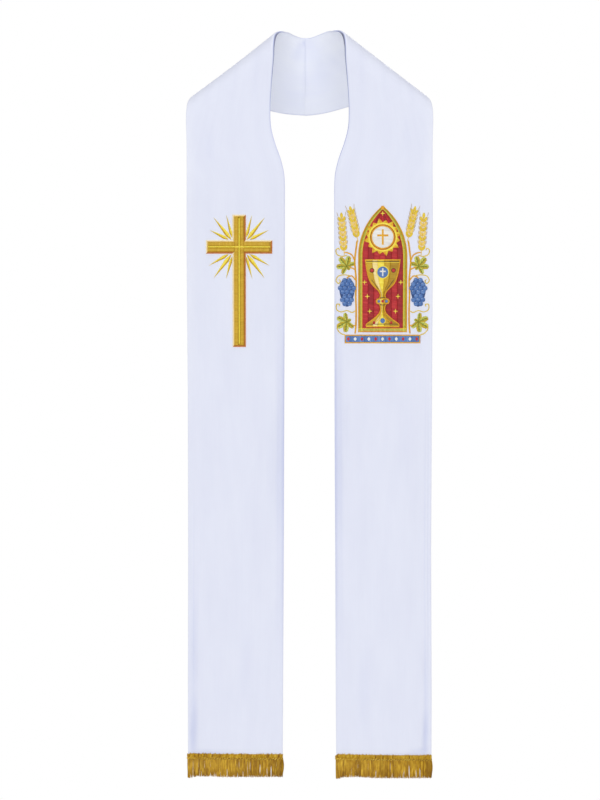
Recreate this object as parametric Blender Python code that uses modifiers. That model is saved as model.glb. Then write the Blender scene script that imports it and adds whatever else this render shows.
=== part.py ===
# Clerical stole, worn: two lined bands joined by a seam at the nape, laid over the shoulders and
# hanging to the knee, with a gold cross, an embroidered panel and a corded fringe on both hems.
# Sizes are in millimetres and become metres where a point is placed. +Z is up, the front faces -Y,
# and +X is the wearer's left. The origin is at the nape, on the neck edge midway between the shoulders.
import math

import bmesh
import bpy
from mathutils import Vector

mm = 0.001
wearers_right = -1
wearers_left = 1
side_names = {wearers_right: "right", wearers_left: "left"}

# Cloth
shell_wall = 1.4
lining_wall = 1.0
seam_gap = 0.3
hem_level = -1189.0
lining_hem_inset = 6.0
lining_edge_inset = 0.022
shell_columns = 10
lining_columns = 6

# Chest under the front panels: leaning back above the breast, plumb below it
plumb_depth = -129.7
plumb_level = -285.0
lean_level = -215.0
chest_lean = math.tan(math.radians(9.6))

# Where the cloth runs over the shoulder, from the seam at the nape to the front.
# steps is the number of rows of faces down to the next section.
shoulder_sections = (
    # name, inner x, inner y, inner z, outer x, outer y, outer z, steps
    ("centre back", 0.25, 0, 0, 0.25, 34, -127, 2),
    ("beside the seam", 5, -0.3, 0.2, 36, 33, -125.5, 2),
    ("back of the neck", 10, -1.4, 1, 72, 28, -118, 2),
    ("shoulder blade", 19, -5.5, 3.4, 107, 12, -109, 3),
    ("back of the shoulder", 29, -13.5, 6.2, 142, -14, -104, 3),
    ("behind the ridge", 39, -25.5, 8, 178, -53.5, -103, 3),
    ("ridge", 50.6, -47, 5.8, 192, -74.5, -107.5, 3),
    ("before the ridge", 56.4, -68.7, -5, 199, -92, -117.5, 3),
    ("front of the shoulder", 58.2, -85.8, -23, 201.5, -105.5, -132.5, 2),
    ("end of the roll", 58.2, -95.2, -45.3, 202, -112.9, -150.5, 1),
)
# The flat of the front, whose depth is that of the chest
front_sections = (
    # name, inner x, inner z, outer x, outer z, steps
    ("side of the neck", 60.5, -75, 201.6, -171, 1),
    ("collarbone", 63.6, -105, 201.2, -190, 1),
    ("widest at the neck", 64.6, -135, 200.9, -208, 1),
    ("curve begins", 62, -165, 200.7, -224, 1),
    ("middle of the curve", 54, -192, 200.5, -238, 1),
    ("curve ends", 44.5, -218, 200.5, -250, 1),
    ("upper breast", 40.5, -242, 200.5, -261, 1),
    ("breast", 40, -264, 200.5, -272, 1),
    ("panel", 40, -285, 200.5, -285, 17),
    ("hem", 40, hem_level, 200.5, hem_level, 0),
)

# The band sits a little to the wearer's right at the nape, and stands higher by the left side of
# the neck. Both ease out along the band.
nape_shift = -7.0
nape_reach = 170.0
neck_rise = {wearers_right: 0.0, wearers_left: 2.0}
neck_rise_station = 120.0
neck_rise_reach = 80.0

# Soft forms that stand out of the cloth's sections
crown_height = 3.0
edge_curls = (
    # side, edge (0 inner, 1 outer), level, half length, depth, share of the width
    (wearers_right, 0, -700, 150, 3.5, 0.16),
    (wearers_left, 0, -690, 160, 3.5, 0.16),
    (wearers_right, 1, -1189, 110, 2.5, 0.20),
    (wearers_left, 1, -1189, 100, 2.0, 0.20),
)
soft_folds = (
    # side, share of the width, level, half length, height, half width as a share
    (wearers_right, 0.35, -740, 200, 1.5, 0.24),
    (wearers_right, 0.72, -900, 230, -1.4, 0.25),
    (wearers_left, 0.66, -770, 220, 1.4, 0.24),
    (wearers_left, 0.32, -940, 210, -1.5, 0.25),
)

# Fringe
braid_top = -1180.0
braid_bottom = -1190.5
braid_wall = 2.0
braid_overhang = 2.0
cord_count = 80
cord_share = 0.6
cord_length = 30.0
cord_taper = 0.7

# Appliqué. What lies on the panel's red field is lifted by the field's own wall too.
applique_lift = 0.45
applique_wall = 1.2
thin_applique_wall = 0.9
on_arch_lift = 2 * applique_lift + thin_applique_wall
cross_middle = (113.5, -360.3)
cross_bar = 21.3
cross_height = 213.5
cross_width = 107.0
cross_head = 51.6
cross_columns = 5
head_rows = 2
foot_rows = 7
ray_width = 4.6
# Rays of the cross, seen from the front: root and tip from its middle, across and up
rays = (
    # name, root across, root up, tip across, tip up
    ("upper left, steep", -14, 19, -22, 50),
    ("upper left, middle", -17, 17, -41, 46),
    ("upper left, flat", -20, 14, -48, 28),
    ("upper right, steep", 14, 19, 20, 50),
    ("upper right, middle", 17, 17, 41, 45),
    ("upper right, flat", 20, 14, 47, 26),
    ("lower left, flat", -20, -14, -48, -29),
    ("lower left, middle", -17, -17, -42, -48),
    ("lower left, steep", -14, -19, -21, -52),
    ("lower right, steep", 14, -19, 21, -50),
    ("lower right, middle", 17, -17, 41, -50),
    ("lower right, flat", 20, -14, 49, -30),
)

# Embroidered panel: a chalice and host on a red arch, among vine leaves, grapes and ears of
# wheat. Places are across and up from the panel's middle, as the viewer sees it.
design_middle = (118.7, -403.5)
arch_half_width = 40.0
arch_foot = -95.0
arch_spring = 28.0
arch_top = 110.0
arch_tip_half_width = 2.0
arch_columns = 6
arch_rows = 11
chalice_profile = (
    # name, height, half width
    ("foot", -87, 27),
    ("rim of the foot", -82, 27),
    ("shoulder of the foot", -73, 15),
    ("stem", -63, 5.5),
    ("under the knop", -52, 5),
    ("knop", -45, 11.5),
    ("over the knop", -38, 5),
    ("under the cup", -29, 7),
    ("bowl of the cup", -15, 20),
    ("side of the cup", 2, 26),
    ("lip", 23, 29),
)
host_height = 59.0
host_radius = 19.5
halo_inner = 20.5
halo_notch = 26.0
halo_outer = 31.0
halo_points = 16
leaves = (
    # name, across, up, radius, turn in degrees
    ("leaf.upper.1", -58.5, 12, 17, 40),
    ("leaf.upper.2", 58.5, 12, 17, -40),
    ("leaf.lower.1", -58.5, -78, 17.5, 120),
    ("leaf.lower.2", 58.5, -78, 17.5, -120),
)
grape_bunches = (
    # name, thread, across, up, half width, half height
    ("grapes.1", "blue thread", -58, -31, 13.5, 24),
    ("grapes.2", "blue thread", 58, -31, 13.5, 24),
)
wheat_ears = (
    # name, across, up, half length, half width, turn in degrees
    ("wheat.1", -65, 66, 34, 6.5, 4),
    ("wheat.2", 65, 66, 34, 6.5, -4),
    ("wheat.3", -47, 82, 29, 6, 13),
    ("wheat.4", 47, 82, 29, 6, -13),
)
ribbon_half_width = 62.0
ribbon_top = -99.0
ribbon_bottom = -113.0
ribbon_columns = 8

colours = {
    # name: colour, roughness, metallic
    "satin": ((0.80, 0.82, 0.90), 0.45, 0.0),
    "lining": ((0.74, 0.76, 0.83), 0.55, 0.0),
    "gold thread": ((0.56, 0.36, 0.08), 0.5, 0.2),
    "yellow thread": ((0.80, 0.62, 0.10), 0.5, 0.0),
    "white thread": ((0.85, 0.83, 0.78), 0.6, 0.0),
    "green thread": ((0.42, 0.50, 0.10), 0.6, 0.0),
    "red thread": ((0.50, 0.05, 0.05), 0.6, 0.0),
    "blue thread": ((0.08, 0.16, 0.42), 0.6, 0.0),
}


def material(name):
    found = bpy.data.materials.get(name)
    if found:
        return found
    colour, roughness, metallic = colours[name]
    made = bpy.data.materials.new(name)
    made.use_nodes = True
    surface = made.node_tree.nodes["Principled BSDF"]
    surface.inputs["Base Color"].default_value = (*colour, 1.0)
    surface.inputs["Roughness"].default_value = roughness
    surface.inputs["Metallic"].default_value = metallic
    made.diffuse_color = (*colour, 1.0)
    return made


def chest_depth(level):
    """Depth of the front at a level: plumb, an easing curve, then the lean of the chest."""
    if level <= plumb_level:
        return plumb_depth
    ease = lean_level - plumb_level
    if level <= lean_level:
        return plumb_depth + chest_lean * (level - plumb_level) ** 2 / (2 * ease)
    return plumb_depth + chest_lean * (ease / 2 + level - lean_level)


def make_sections():
    """Both tables as one list of sections, each with its station along the band."""
    sections = []
    for _, ix, iy, iz, ox, oy, oz, steps in shoulder_sections:
        sections.append({"inner": Vector((ix, iy, iz)), "outer": Vector((ox, oy, oz)), "steps": steps})
    for _, ix, iz, ox, oz, steps in front_sections:
        inner = Vector((ix, chest_depth(iz), iz))
        outer = Vector((ox, chest_depth(oz), oz))
        sections.append({"inner": inner, "outer": outer, "steps": steps})
    station = 0.0
    previous = None
    for section in sections:
        if previous:
            inner_run = section["inner"] - previous["inner"]
            outer_run = section["outer"] - previous["outer"]
            if section["outer"].z <= front_sections[0][4]:
                inner_run.y = 0.0
                outer_run.y = 0.0
            station += (inner_run.length + outer_run.length) / 2
        section["station"] = station
        previous = section
    return sections


sections = make_sections()
roll_end = sections[len(shoulder_sections) - 1]["station"]
panel_top = sections[-2]["station"]
panel_top_level = sections[-2]["inner"].z
panel_rows = sections[-2]["steps"]
hem_station = sections[-1]["station"]


def edge_point(edge, station):
    """A smooth curve through the sections' points on one edge, and straight down the panel."""
    if station >= panel_top:
        point = sections[-2][edge].copy()
        point.z -= station - panel_top
        return point
    index = 0
    while station > sections[index + 1]["station"]:
        index += 1
    start, end = sections[index], sections[index + 1]
    run = end["station"] - start["station"]
    share = (station - start["station"]) / run
    slope_in = edge_slope(edge, index) * run
    slope_out = edge_slope(edge, index + 1) * run
    square, cube = share * share, share * share * share
    return (start[edge] * (2 * cube - 3 * square + 1) + slope_in * (cube - 2 * square + share)
            + end[edge] * (3 * square - 2 * cube) + slope_out * (cube - square))


def edge_slope(edge, index):
    """Slope of an edge at a section: the mean of the runs before and after, the nearer weighing more.
    At the nape the two halves run into each other, so the slope there is level across."""
    if index == 0:
        run = sections[1]["station"] - sections[0]["station"]
        return Vector(((sections[1][edge].x - sections[0][edge].x) / run, 0, 0))
    before = max(index - 1, 0)
    after = min(index + 1, len(sections) - 2)
    if after == index:
        run = sections[after]["station"] - sections[before]["station"]
        return (sections[after][edge] - sections[before][edge]) / run
    run_in = sections[index]["station"] - sections[before]["station"]
    run_out = sections[after]["station"] - sections[index]["station"]
    slope_in = (sections[index][edge] - sections[before][edge]) / run_in
    slope_out = (sections[after][edge] - sections[index][edge]) / run_out
    return (slope_in * run_out + slope_out * run_in) / (run_in + run_out)


def base_point(across, station):
    """The cloth without its soft forms. across runs from 0 at the inner edge to 1 at the outer."""
    point = edge_point("inner", station).lerp(edge_point("outer", station), across)
    if station > roll_end:
        point.y = chest_depth(point.z)
    return point


def bell(distance, half_width):
    """1 at the middle of a soft form, easing to 0 at its half width."""
    share = min(abs(distance) / half_width, 1.0)
    return (1 - share * share) ** 2


def relief(side, across, station):
    """How far the soft forms lift the cloth: its crown, rolled edges and soft folds."""
    level = panel_top_level - (station - panel_top)
    front_share = min(max((station - roll_end) / (panel_top - roll_end), 0.0), 1.0)
    height = crown_height * (0.3 + 0.7 * front_share) * (1 - (2 * across - 1) ** 2)
    for curl_side, edge, middle, half_length, depth, width in edge_curls:
        if curl_side == side:
            height -= depth * bell(level - middle, half_length) * bell(across - edge, width)
    for fold_side, place, middle, half_length, fold_height, half_width in soft_folds:
        if fold_side == side:
            height += fold_height * bell(level - middle, half_length) * bell(across - place, half_width)
    return height


def cloth_point(side, across, station, lift=0.0):
    """A point of the cloth's face, in metres, moved out by lift along the cloth's normal."""
    point = base_point(across, station)
    along_width = base_point(across + 0.01, station) - base_point(across - 0.01, station)
    along_band = base_point(across, station + 1.0) - base_point(across, station - 1.0)
    outward = along_band.cross(along_width).normalized()
    point += outward * (relief(side, across, station) + lift)
    shift = nape_shift * bell(station, nape_reach)
    rise = neck_rise[side] * bell(station - neck_rise_station, neck_rise_reach) * (1 - across) ** 2
    return Vector((point.x * side + shift, point.y, point.z + rise)) * mm


def panel_point(side, distance, level, lift=0.0):
    """A point over a front panel's own faces, from its distance to the body's middle and its level."""
    inner, outer = front_sections[-1][1], front_sections[-1][3]
    column = (distance - inner) / (outer - inner) * shell_columns
    row = (panel_top_level - level) / (panel_top_level - hem_level) * panel_rows
    left = min(max(math.floor(column), 0), shell_columns - 1)
    above = min(max(math.floor(row), 0), panel_rows - 1)
    corners = []
    for corner_row in (above, above + 1):
        station = panel_top + corner_row / panel_rows * (hem_station - panel_top)
        for corner_column in (left, left + 1):
            corners.append(cloth_point(side, corner_column / shell_columns, station))
    top = corners[0].lerp(corners[1], column - left)
    bottom = corners[2].lerp(corners[3], column - left)
    outward = (corners[3] - corners[0]).cross(corners[2] - corners[1]).normalized()
    if outward.y > 0:
        outward.negate()
    return top.lerp(bottom, row - above) + outward * lift * mm


def row_stations():
    """Stations of the rows of faces, the same for the face cloth and its lining."""
    stations = []
    for start, end in zip(sections, sections[1:]):
        for step in range(start["steps"]):
            share = step / start["steps"]
            stations.append(start["station"] + share * (end["station"] - start["station"]))
    return stations


def finish(bm, name, material_name, wall, offset):
    """Make the object of a surface and give it its wall. An offset of 1 builds outwards, -1 inwards."""
    mesh = bpy.data.meshes.new(name)
    bm.to_mesh(mesh)
    bm.free()
    mesh.materials.append(material(material_name))
    mesh.shade_smooth()
    made = bpy.data.objects.new(name, mesh)
    stole.objects.link(made)
    solidify = made.modifiers.new("wall", "SOLIDIFY")
    solidify.thickness = wall * mm
    solidify.offset = offset
    solidify.use_even_offset = True
    return made


def shape_grid(columns, rows, place):
    """A grid whose corners go where place(share across, row) says, its face towards the viewer."""
    bm = bmesh.new()
    bmesh.ops.create_grid(bm, x_segments=columns, y_segments=rows, size=1.0)
    for vert in bm.verts:
        share = (vert.co.x + 1) / 2
        row = rows - round((vert.co.y + 1) / 2 * rows)
        vert.co = place(share, row)
    return bm


def make_cloth(name, side, material_name, columns, edge_inset, stations, lift, wall):
    """One band of cloth from the nape to the hem."""
    def place(share, row):
        across = share if side == wearers_left else 1 - share
        across = edge_inset + across * (1 - 2 * edge_inset)
        return cloth_point(side, across, stations[row], lift)

    bm = shape_grid(columns, len(stations) - 1, place)
    return finish(bm, name, material_name, wall, -1)


def make_fringe(side):
    """A braid along the hem with its cords, whose roots are fused in the braid."""
    inner = front_sections[-1][1] - braid_overhang
    outer = front_sections[-1][3] + braid_overhang
    pitch = (outer - inner) / cord_count
    root = pitch * cord_share
    columns = 2 * cord_count + 1
    bm = bmesh.new()
    bmesh.ops.create_grid(bm, x_segments=columns, y_segments=1, size=1.0)
    for vert in bm.verts:
        column = round((vert.co.x + 1) / 2 * columns)
        cord, part = divmod(column, 2)
        distance = inner + cord * pitch + (pitch - root) * (part - 0.5)
        vert.co.x = min(max(distance, inner), outer) * side
        vert.co.y = braid_top if vert.co.y > 0 else braid_bottom
    grown = bmesh.ops.extrude_face_region(bm, geom=bm.faces[:], use_keep_orig=True)
    for vert in grown["geom"]:
        if isinstance(vert, bmesh.types.BMVert):
            vert.co.z += braid_wall
    under = [face for face in bm.faces if face.calc_center_median().y < braid_bottom + 0.1]
    under.sort(key=lambda face: abs(face.calc_center_median().x))
    roots = under[1::2]
    tips = bmesh.ops.extrude_discrete_faces(bm, faces=roots)["faces"]
    for number, tip in enumerate(tips):
        middle = tip.calc_center_median()
        length = cord_length - 1.2 * (1 + math.sin(number * 2.4)) - 1.5 * (number % 3 == 1)
        for vert in tip.verts:
            vert.co = middle + (vert.co - middle) * cord_taper
            vert.co.y -= length
    for vert in bm.verts:
        vert.co = panel_point(side, abs(vert.co.x), vert.co.y, seam_gap + vert.co.z)
    bmesh.ops.recalc_face_normals(bm, faces=bm.faces[:])
    if bm.calc_volume(signed=True) < 0:
        bmesh.ops.reverse_faces(bm, faces=bm.faces[:])
    name = "fringe." + side_names[side]
    mesh = bpy.data.meshes.new(name)
    bm.to_mesh(mesh)
    bm.free()
    mesh.materials.append(material("gold thread"))
    made = bpy.data.objects.new(name, mesh)
    stole.objects.link(made)
    return made


def make_cross():
    """The Latin cross: a grid of squares whose four corners are taken out."""
    arm_row = head_rows
    rows = head_rows + 1 + foot_rows
    arm_top = cross_bar / 2
    head_step = (cross_head - arm_top) / head_rows
    foot_step = (cross_height - cross_head - arm_top) / foot_rows

    def row_height(row):
        if row <= arm_row:
            return arm_top + (arm_row - row) * head_step
        return -arm_top - (row - arm_row - 1) * foot_step

    def place(share, row):
        column = round(share * cross_columns)
        half = cross_columns / 2
        reach = (cross_width - cross_bar) / (cross_columns - 1)
        beyond = abs(column - half) - 0.5
        across = math.copysign(cross_bar / 2 + beyond * reach, column - half)
        return Vector((across, row_height(row), 0))

    bm = shape_grid(cross_columns, rows, place)
    corners = []
    for face in bm.faces:
        middle = face.calc_center_median()
        if abs(middle.x) > cross_bar / 2 and abs(middle.y) > cross_bar / 2:
            corners.append(face)
    bmesh.ops.delete(bm, geom=corners, context="FACES")
    lay_on_panel(bm, wearers_right, cross_middle)
    return finish(bm, "cross", "gold thread", applique_wall, 1)


def lay_on_panel(bm, side, middle, lift=applique_lift):
    """Lay a flat shape, drawn as the viewer sees it, on a front panel around a middle point."""
    for vert in bm.verts:
        distance = middle[0] + vert.co.x * side
        vert.co = panel_point(side, distance, middle[1] + vert.co.y, lift)


def ring_shape(segments, shape):
    """A flat round-based shape: each corner of a circle goes where shape(angle) says."""
    bm = bmesh.new()
    bmesh.ops.create_circle(bm, cap_ends=True, segments=segments, radius=1.0)
    for vert in bm.verts:
        x, y = shape(math.atan2(vert.co.y, vert.co.x))
        vert.co = Vector((x, y, 0))
    return bm


def turned(x, y, degrees, across, up):
    angle = math.radians(degrees)
    return (across + x * math.cos(angle) - y * math.sin(angle),
            up + x * math.sin(angle) + y * math.cos(angle))


def make_ray(number, root_x, root_y, tip_x, tip_y):
    """One ray: a slim dart, widest near its root."""
    length = math.hypot(tip_x - root_x, tip_y - root_y)
    lean = math.degrees(math.atan2(tip_y - root_y, tip_x - root_x)) - 90

    def shape(angle):
        along = length * (0.5 + 0.5 * math.sin(angle))
        narrowing = 1.25 - 0.85 * along / length
        return turned(ray_width / 2 * math.cos(angle) * narrowing, along, lean, root_x, root_y)

    bm = ring_shape(8, shape)
    lay_on_panel(bm, wearers_right, cross_middle)
    return finish(bm, f"ray.{number:02d}", "yellow thread", thin_applique_wall, 1)


def arch_reach(height):
    """Half width of the arch at a height: straight sides, then two arcs that meet at the top."""
    if height <= arch_spring:
        return arch_half_width
    rise = arch_top - arch_spring
    radius = (rise ** 2 + arch_half_width ** 2) / (2 * arch_half_width)
    arc = math.sqrt(radius ** 2 - (height - arch_spring) ** 2)
    return max(arc - (radius - arch_half_width), arch_tip_half_width)


def make_arch():
    """The red field behind the chalice, a pointed arch."""
    def place(share, row):
        height = arch_top - (arch_top - arch_foot) * row / arch_rows
        return Vector(((2 * share - 1) * arch_reach(height), height, 0))

    bm = shape_grid(arch_columns, arch_rows, place)
    lay_on_panel(bm, wearers_left, design_middle)
    return finish(bm, "arch", "red thread", thin_applique_wall, 1)


def make_chalice():
    """The chalice, from the half widths of its profile."""
    def place(share, row):
        _, height, half_width = chalice_profile[len(chalice_profile) - 1 - row]
        return Vector(((2 * share - 1) * half_width, height, 0))

    bm = shape_grid(2, len(chalice_profile) - 1, place)
    lay_on_panel(bm, wearers_left, design_middle, on_arch_lift)
    return finish(bm, "chalice", "gold thread", applique_wall, 1)


def make_host():
    """The white disc over the cup."""
    def shape(angle):
        return host_radius * math.cos(angle), host_height + host_radius * math.sin(angle)

    bm = ring_shape(16, shape)
    lay_on_panel(bm, wearers_left, design_middle, on_arch_lift)
    return finish(bm, "host", "white thread", thin_applique_wall, 1)


def make_halo():
    """The ring of points around the disc."""
    bm = bmesh.new()
    bmesh.ops.create_circle(bm, segments=2 * halo_points, radius=1.0)
    grown = bmesh.ops.extrude_edge_only(bm, edges=bm.edges[:])
    outer_verts = [item for item in grown["geom"] if isinstance(item, bmesh.types.BMVert)]
    for vert in bm.verts:
        angle = math.atan2(vert.co.y, vert.co.x)
        radius = halo_inner
        if vert in outer_verts:
            is_point = round(angle / math.pi * halo_points) % 2 == 0
            radius = halo_outer if is_point else halo_notch
        vert.co = Vector((radius * math.cos(angle), host_height + radius * math.sin(angle), 0))
    bmesh.ops.recalc_face_normals(bm, faces=bm.faces[:])
    bm.faces.ensure_lookup_table()
    if bm.faces[0].normal.z < 0:
        bmesh.ops.reverse_faces(bm, faces=bm.faces[:])
    lay_on_panel(bm, wearers_left, design_middle, on_arch_lift)
    return finish(bm, "halo", "yellow thread", thin_applique_wall, 1)


def make_leaf(name, across, up, radius, turn):
    """A vine leaf of five lobes."""
    def shape(angle):
        reach = radius * (0.84 + 0.16 * math.cos(5 * (angle - math.pi / 2)))
        return turned(reach * math.cos(angle), reach * math.sin(angle), turn, across, up)

    bm = ring_shape(20, shape)
    lay_on_panel(bm, wearers_left, design_middle)
    return finish(bm, name, "green thread", thin_applique_wall, 1)


def make_grapes(name, material_name, across, up, half_width, half_height):
    """A bunch of grapes, wide at the top and with a scalloped outline."""
    def shape(angle):
        scallop = 1 + 0.06 * math.cos(8 * angle)
        width = half_width * (1 + 0.3 * math.sin(angle)) * scallop
        return across + width * math.cos(angle), up + half_height * math.sin(angle) * scallop

    bm = ring_shape(16, shape)
    lay_on_panel(bm, wearers_left, design_middle)
    return finish(bm, name, material_name, applique_wall, 1)


def make_wheat(name, across, up, half_length, half_width, turn):
    """An ear of wheat: a slim pointed shape."""
    def shape(angle):
        width = half_width * math.cos(angle) * (1 - 0.25 * math.sin(angle))
        return turned(width, half_length * math.sin(angle), turn, across, up)

    bm = ring_shape(10, shape)
    lay_on_panel(bm, wearers_left, design_middle)
    return finish(bm, name, "yellow thread", thin_applique_wall, 1)


def make_ribbon():
    """The band of cloth under the chalice's foot."""
    def place(share, row):
        height = ribbon_top if row == 0 else ribbon_bottom
        return Vector(((2 * share - 1) * ribbon_half_width, height, 0))

    bm = shape_grid(ribbon_columns, 1, place)
    lay_on_panel(bm, wearers_left, design_middle)
    return finish(bm, "ribbon", "blue thread", thin_applique_wall, 1)


for old in list(bpy.data.objects):
    bpy.data.objects.remove(old, do_unlink=True)
stole = bpy.data.collections.new("clerical stole")
bpy.context.scene.collection.children.link(stole)

rows = row_stations()
for side, side_name in side_names.items():
    shell_rows = rows + [hem_station]
    lining_rows = rows + [hem_station - lining_hem_inset]
    make_cloth("shell." + side_name, side, "satin", shell_columns, 0.0, shell_rows, 0.0, shell_wall)
    make_cloth("lining." + side_name, side, "lining", lining_columns, lining_edge_inset, lining_rows,
               -shell_wall - seam_gap, lining_wall)
    make_fringe(side)
make_cross()
for number, (_, root_x, root_y, tip_x, tip_y) in enumerate(rays, start=1):
    make_ray(number, root_x, root_y, tip_x, tip_y)
make_arch()
make_chalice()
make_host()
make_halo()
for leaf in leaves:
    make_leaf(*leaf)
for bunch in grape_bunches:
    make_grapes(*bunch)
for ear in wheat_ears:
    make_wheat(*ear)
make_ribbon()
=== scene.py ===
import math
import random

import bmesh
import bpy
import numpy as np
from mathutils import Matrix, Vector


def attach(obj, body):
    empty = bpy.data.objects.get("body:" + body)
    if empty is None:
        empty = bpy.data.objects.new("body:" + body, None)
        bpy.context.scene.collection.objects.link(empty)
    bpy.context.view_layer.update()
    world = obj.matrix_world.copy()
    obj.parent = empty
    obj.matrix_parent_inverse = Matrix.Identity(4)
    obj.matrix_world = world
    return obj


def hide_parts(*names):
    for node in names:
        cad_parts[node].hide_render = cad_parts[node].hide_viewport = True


# Worn clerical stole: satin-faced bands with a greyer lining, a rayed gold cross, an embroidered
# chalice panel and gold fringe. Sizes are in millimetres until a point is placed.
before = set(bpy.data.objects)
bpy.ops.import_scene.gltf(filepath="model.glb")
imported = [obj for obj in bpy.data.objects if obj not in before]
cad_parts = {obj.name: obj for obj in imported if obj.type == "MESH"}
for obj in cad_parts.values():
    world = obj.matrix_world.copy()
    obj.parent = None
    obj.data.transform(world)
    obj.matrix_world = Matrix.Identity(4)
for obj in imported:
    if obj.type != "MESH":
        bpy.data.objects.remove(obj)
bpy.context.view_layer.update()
print("frame loaded:", len(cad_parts), "nodes")

mm = 0.001
wearersRight = -1
wearersLeft = 1
sideNames = {wearersRight: "right", wearersLeft: "left"}
chance = random.Random(7)


# Camera, stage and light

view = {
    "place": (-0.0156, -3.716, -0.6084),
    "tilt": 90,
    "lens": 99.5,
    "sensorHeight": 36.0,
}
stage = {
    "floorLevel": -1.46,
    "floorRadius": 3.2,
    "floorEdges": 96,
    "floorTone": 0.9,
    "floorRoughness": 0.9,
    "background": 1.0,
    "fill": 0.44,
}
lamps = (
    # name, place, aim, width, height, watts
    ("key", (-1.3, -4.3, -0.15), (0, 0, -0.5), 2.4, 2.6, 51),
    ("fill", (1.45, -4.2, -0.25), (0, 0, -0.6), 2.4, 2.6, 41),
    ("top", (0, -0.3, 2.3), (0, -0.1, -0.1), 1.8, 1.0, 22),
    ("back", (0.4, 3.6, 0.6), (0, 0, -0.6), 2.6, 2.6, 40),
)


def addObject(name, data):
    made = bpy.data.objects.new(name, data)
    bpy.context.scene.collection.objects.link(made)
    return made


def makeCamera():
    data = bpy.data.cameras.new("camera")
    data.sensor_fit = "VERTICAL"
    data.sensor_height = view["sensorHeight"]
    data.lens = view["lens"]
    camera = addObject("camera", data)
    camera.location = view["place"]
    camera.rotation_euler = (math.radians(view["tilt"]), 0, 0)
    bpy.context.scene.camera = camera


def makeLamps():
    for name, place, aim, width, height, watts in lamps:
        data = bpy.data.lights.new(name, "AREA")
        data.shape = "RECTANGLE"
        data.size = width
        data.size_y = height
        data.energy = watts
        lamp = addObject(name, data)
        lamp.location = place
        lamp.rotation_euler = (Vector(aim) - Vector(place)).to_track_quat("-Z", "Y").to_euler()


def addNode(tree, kind, inputs=None, **settings):
    node = tree.nodes.new(kind)
    for name, value in settings.items():
        setattr(node, name, value)
    for name, value in (inputs or {}).items():
        if isinstance(value, bpy.types.NodeSocket):
            tree.links.new(value, node.inputs[name])
        else:
            node.inputs[name].default_value = value
    return node


def forCamera(tree, shown, others):
    # the backdrop shows plain white and lights the cloth with another strength
    seen = addNode(tree, "ShaderNodeLightPath").outputs["Is Camera Ray"]
    mix = addNode(tree, "ShaderNodeMixShader", {0: seen, 1: others.outputs[0], 2: shown.outputs[0]})
    return mix.outputs[0]


def makeWorld():
    world = bpy.data.worlds.new("studio")
    world.use_nodes = True
    tree = world.node_tree
    tree.nodes.clear()
    white = (1, 1, 1, 1)
    dim = addNode(tree, "ShaderNodeBackground", {"Color": white, "Strength": stage["fill"]})
    bright = addNode(tree, "ShaderNodeBackground", {"Color": white, "Strength": stage["background"]})
    addNode(tree, "ShaderNodeOutputWorld", {"Surface": forCamera(tree, bright, dim)})
    bpy.context.scene.world = world


def makeFloor():
    bm = bmesh.new()
    bmesh.ops.create_circle(bm, cap_ends=True, segments=stage["floorEdges"], radius=stage["floorRadius"])
    bmesh.ops.translate(bm, verts=bm.verts, vec=(0, 0, stage["floorLevel"]))
    mesh = bpy.data.meshes.new("floor")
    bm.to_mesh(mesh)
    bm.free()
    material = bpy.data.materials.new("white floor")
    material.use_nodes = True
    tree = material.node_tree
    tree.nodes.clear()
    tone = (stage["floorTone"],) * 3 + (1,)
    look = {"Base Color": tone, "Roughness": stage["floorRoughness"]}
    matt = addNode(tree, "ShaderNodeBsdfPrincipled", look)
    glow = addNode(tree, "ShaderNodeEmission", {"Strength": stage["background"]})
    addNode(tree, "ShaderNodeOutputMaterial", {"Surface": forCamera(tree, glow, matt)})
    mesh.materials.append(material)
    addObject("floor", mesh)


makeCamera()
makeLamps()
makeWorld()
makeFloor()
bpy.context.scene.view_settings.view_transform = "Standard"
print("camera, lamps and floor made")


# The band's form: sections of the worn cloth from the nape seam to the hem

# below the plumb level the fronts hang straight, and above the lean level they lean back evenly
chest = {"plumbDepth": -129.7, "plumbLevel": -285.0, "leanLevel": -215.0, "lean": math.tan(math.radians(9.6))}
shoulderSections = (
    # name, inner x, inner y, inner z, outer x, outer y, outer z
    ("centre back", 0.25, 0, 0, 0.25, 34, -127),
    ("beside the seam", 5, -0.3, 0.2, 36, 33, -125.5),
    ("back of the neck", 10, -1.4, 1, 72, 28, -118),
    ("shoulder blade", 19, -5.5, 3.4, 107, 12, -109),
    ("back of the shoulder", 29, -13.5, 6.2, 142, -14, -104),
    ("behind the ridge", 39, -25.5, 8, 178, -53.5, -103),
    ("ridge", 50.6, -47, 5.8, 192, -74.5, -107.5),
    ("before the ridge", 56.4, -68.7, -5, 199, -92, -117.5),
    ("front of the shoulder", 58.2, -85.8, -23, 201.5, -105.5, -132.5),
    ("end of the roll", 58.2, -95.2, -45.3, 202, -112.9, -150.5),
)
frontSections = (
    # name, inner x, inner z, outer x, outer z
    ("side of the neck", 60.5, -75, 201.6, -171),
    ("collarbone", 62.8, -105, 201.2, -190),
    ("widest at the neck", 64.0, -135, 200.9, -208),
    ("curve begins", 62.4, -165, 200.7, -224),
    ("middle of the curve", 55.4, -192, 200.5, -238),
    ("curve ends", 46.4, -218, 200.5, -250),
    ("upper breast", 41.1, -242, 200.5, -261),
    ("breast", 40, -264, 200.5, -272),
    ("panel", 40, -285, 200.5, -285),
    ("hem", 40, -1189, 200.5, -1189),
)
panelInner = frontSections[-1][1]
panelOuter = frontSections[-1][3]
panelTopLevel = frontSections[-2][2]


def chestDepth(level):
    ease = chest["leanLevel"] - chest["plumbLevel"]
    curve = (level - chest["plumbLevel"]) ** 2 / (2 * ease)
    slope = ease / 2 + level - chest["leanLevel"]
    forward = np.where(level <= chest["plumbLevel"], 0.0, np.where(level <= chest["leanLevel"], curve, slope))
    return chest["plumbDepth"] + chest["lean"] * forward


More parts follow.
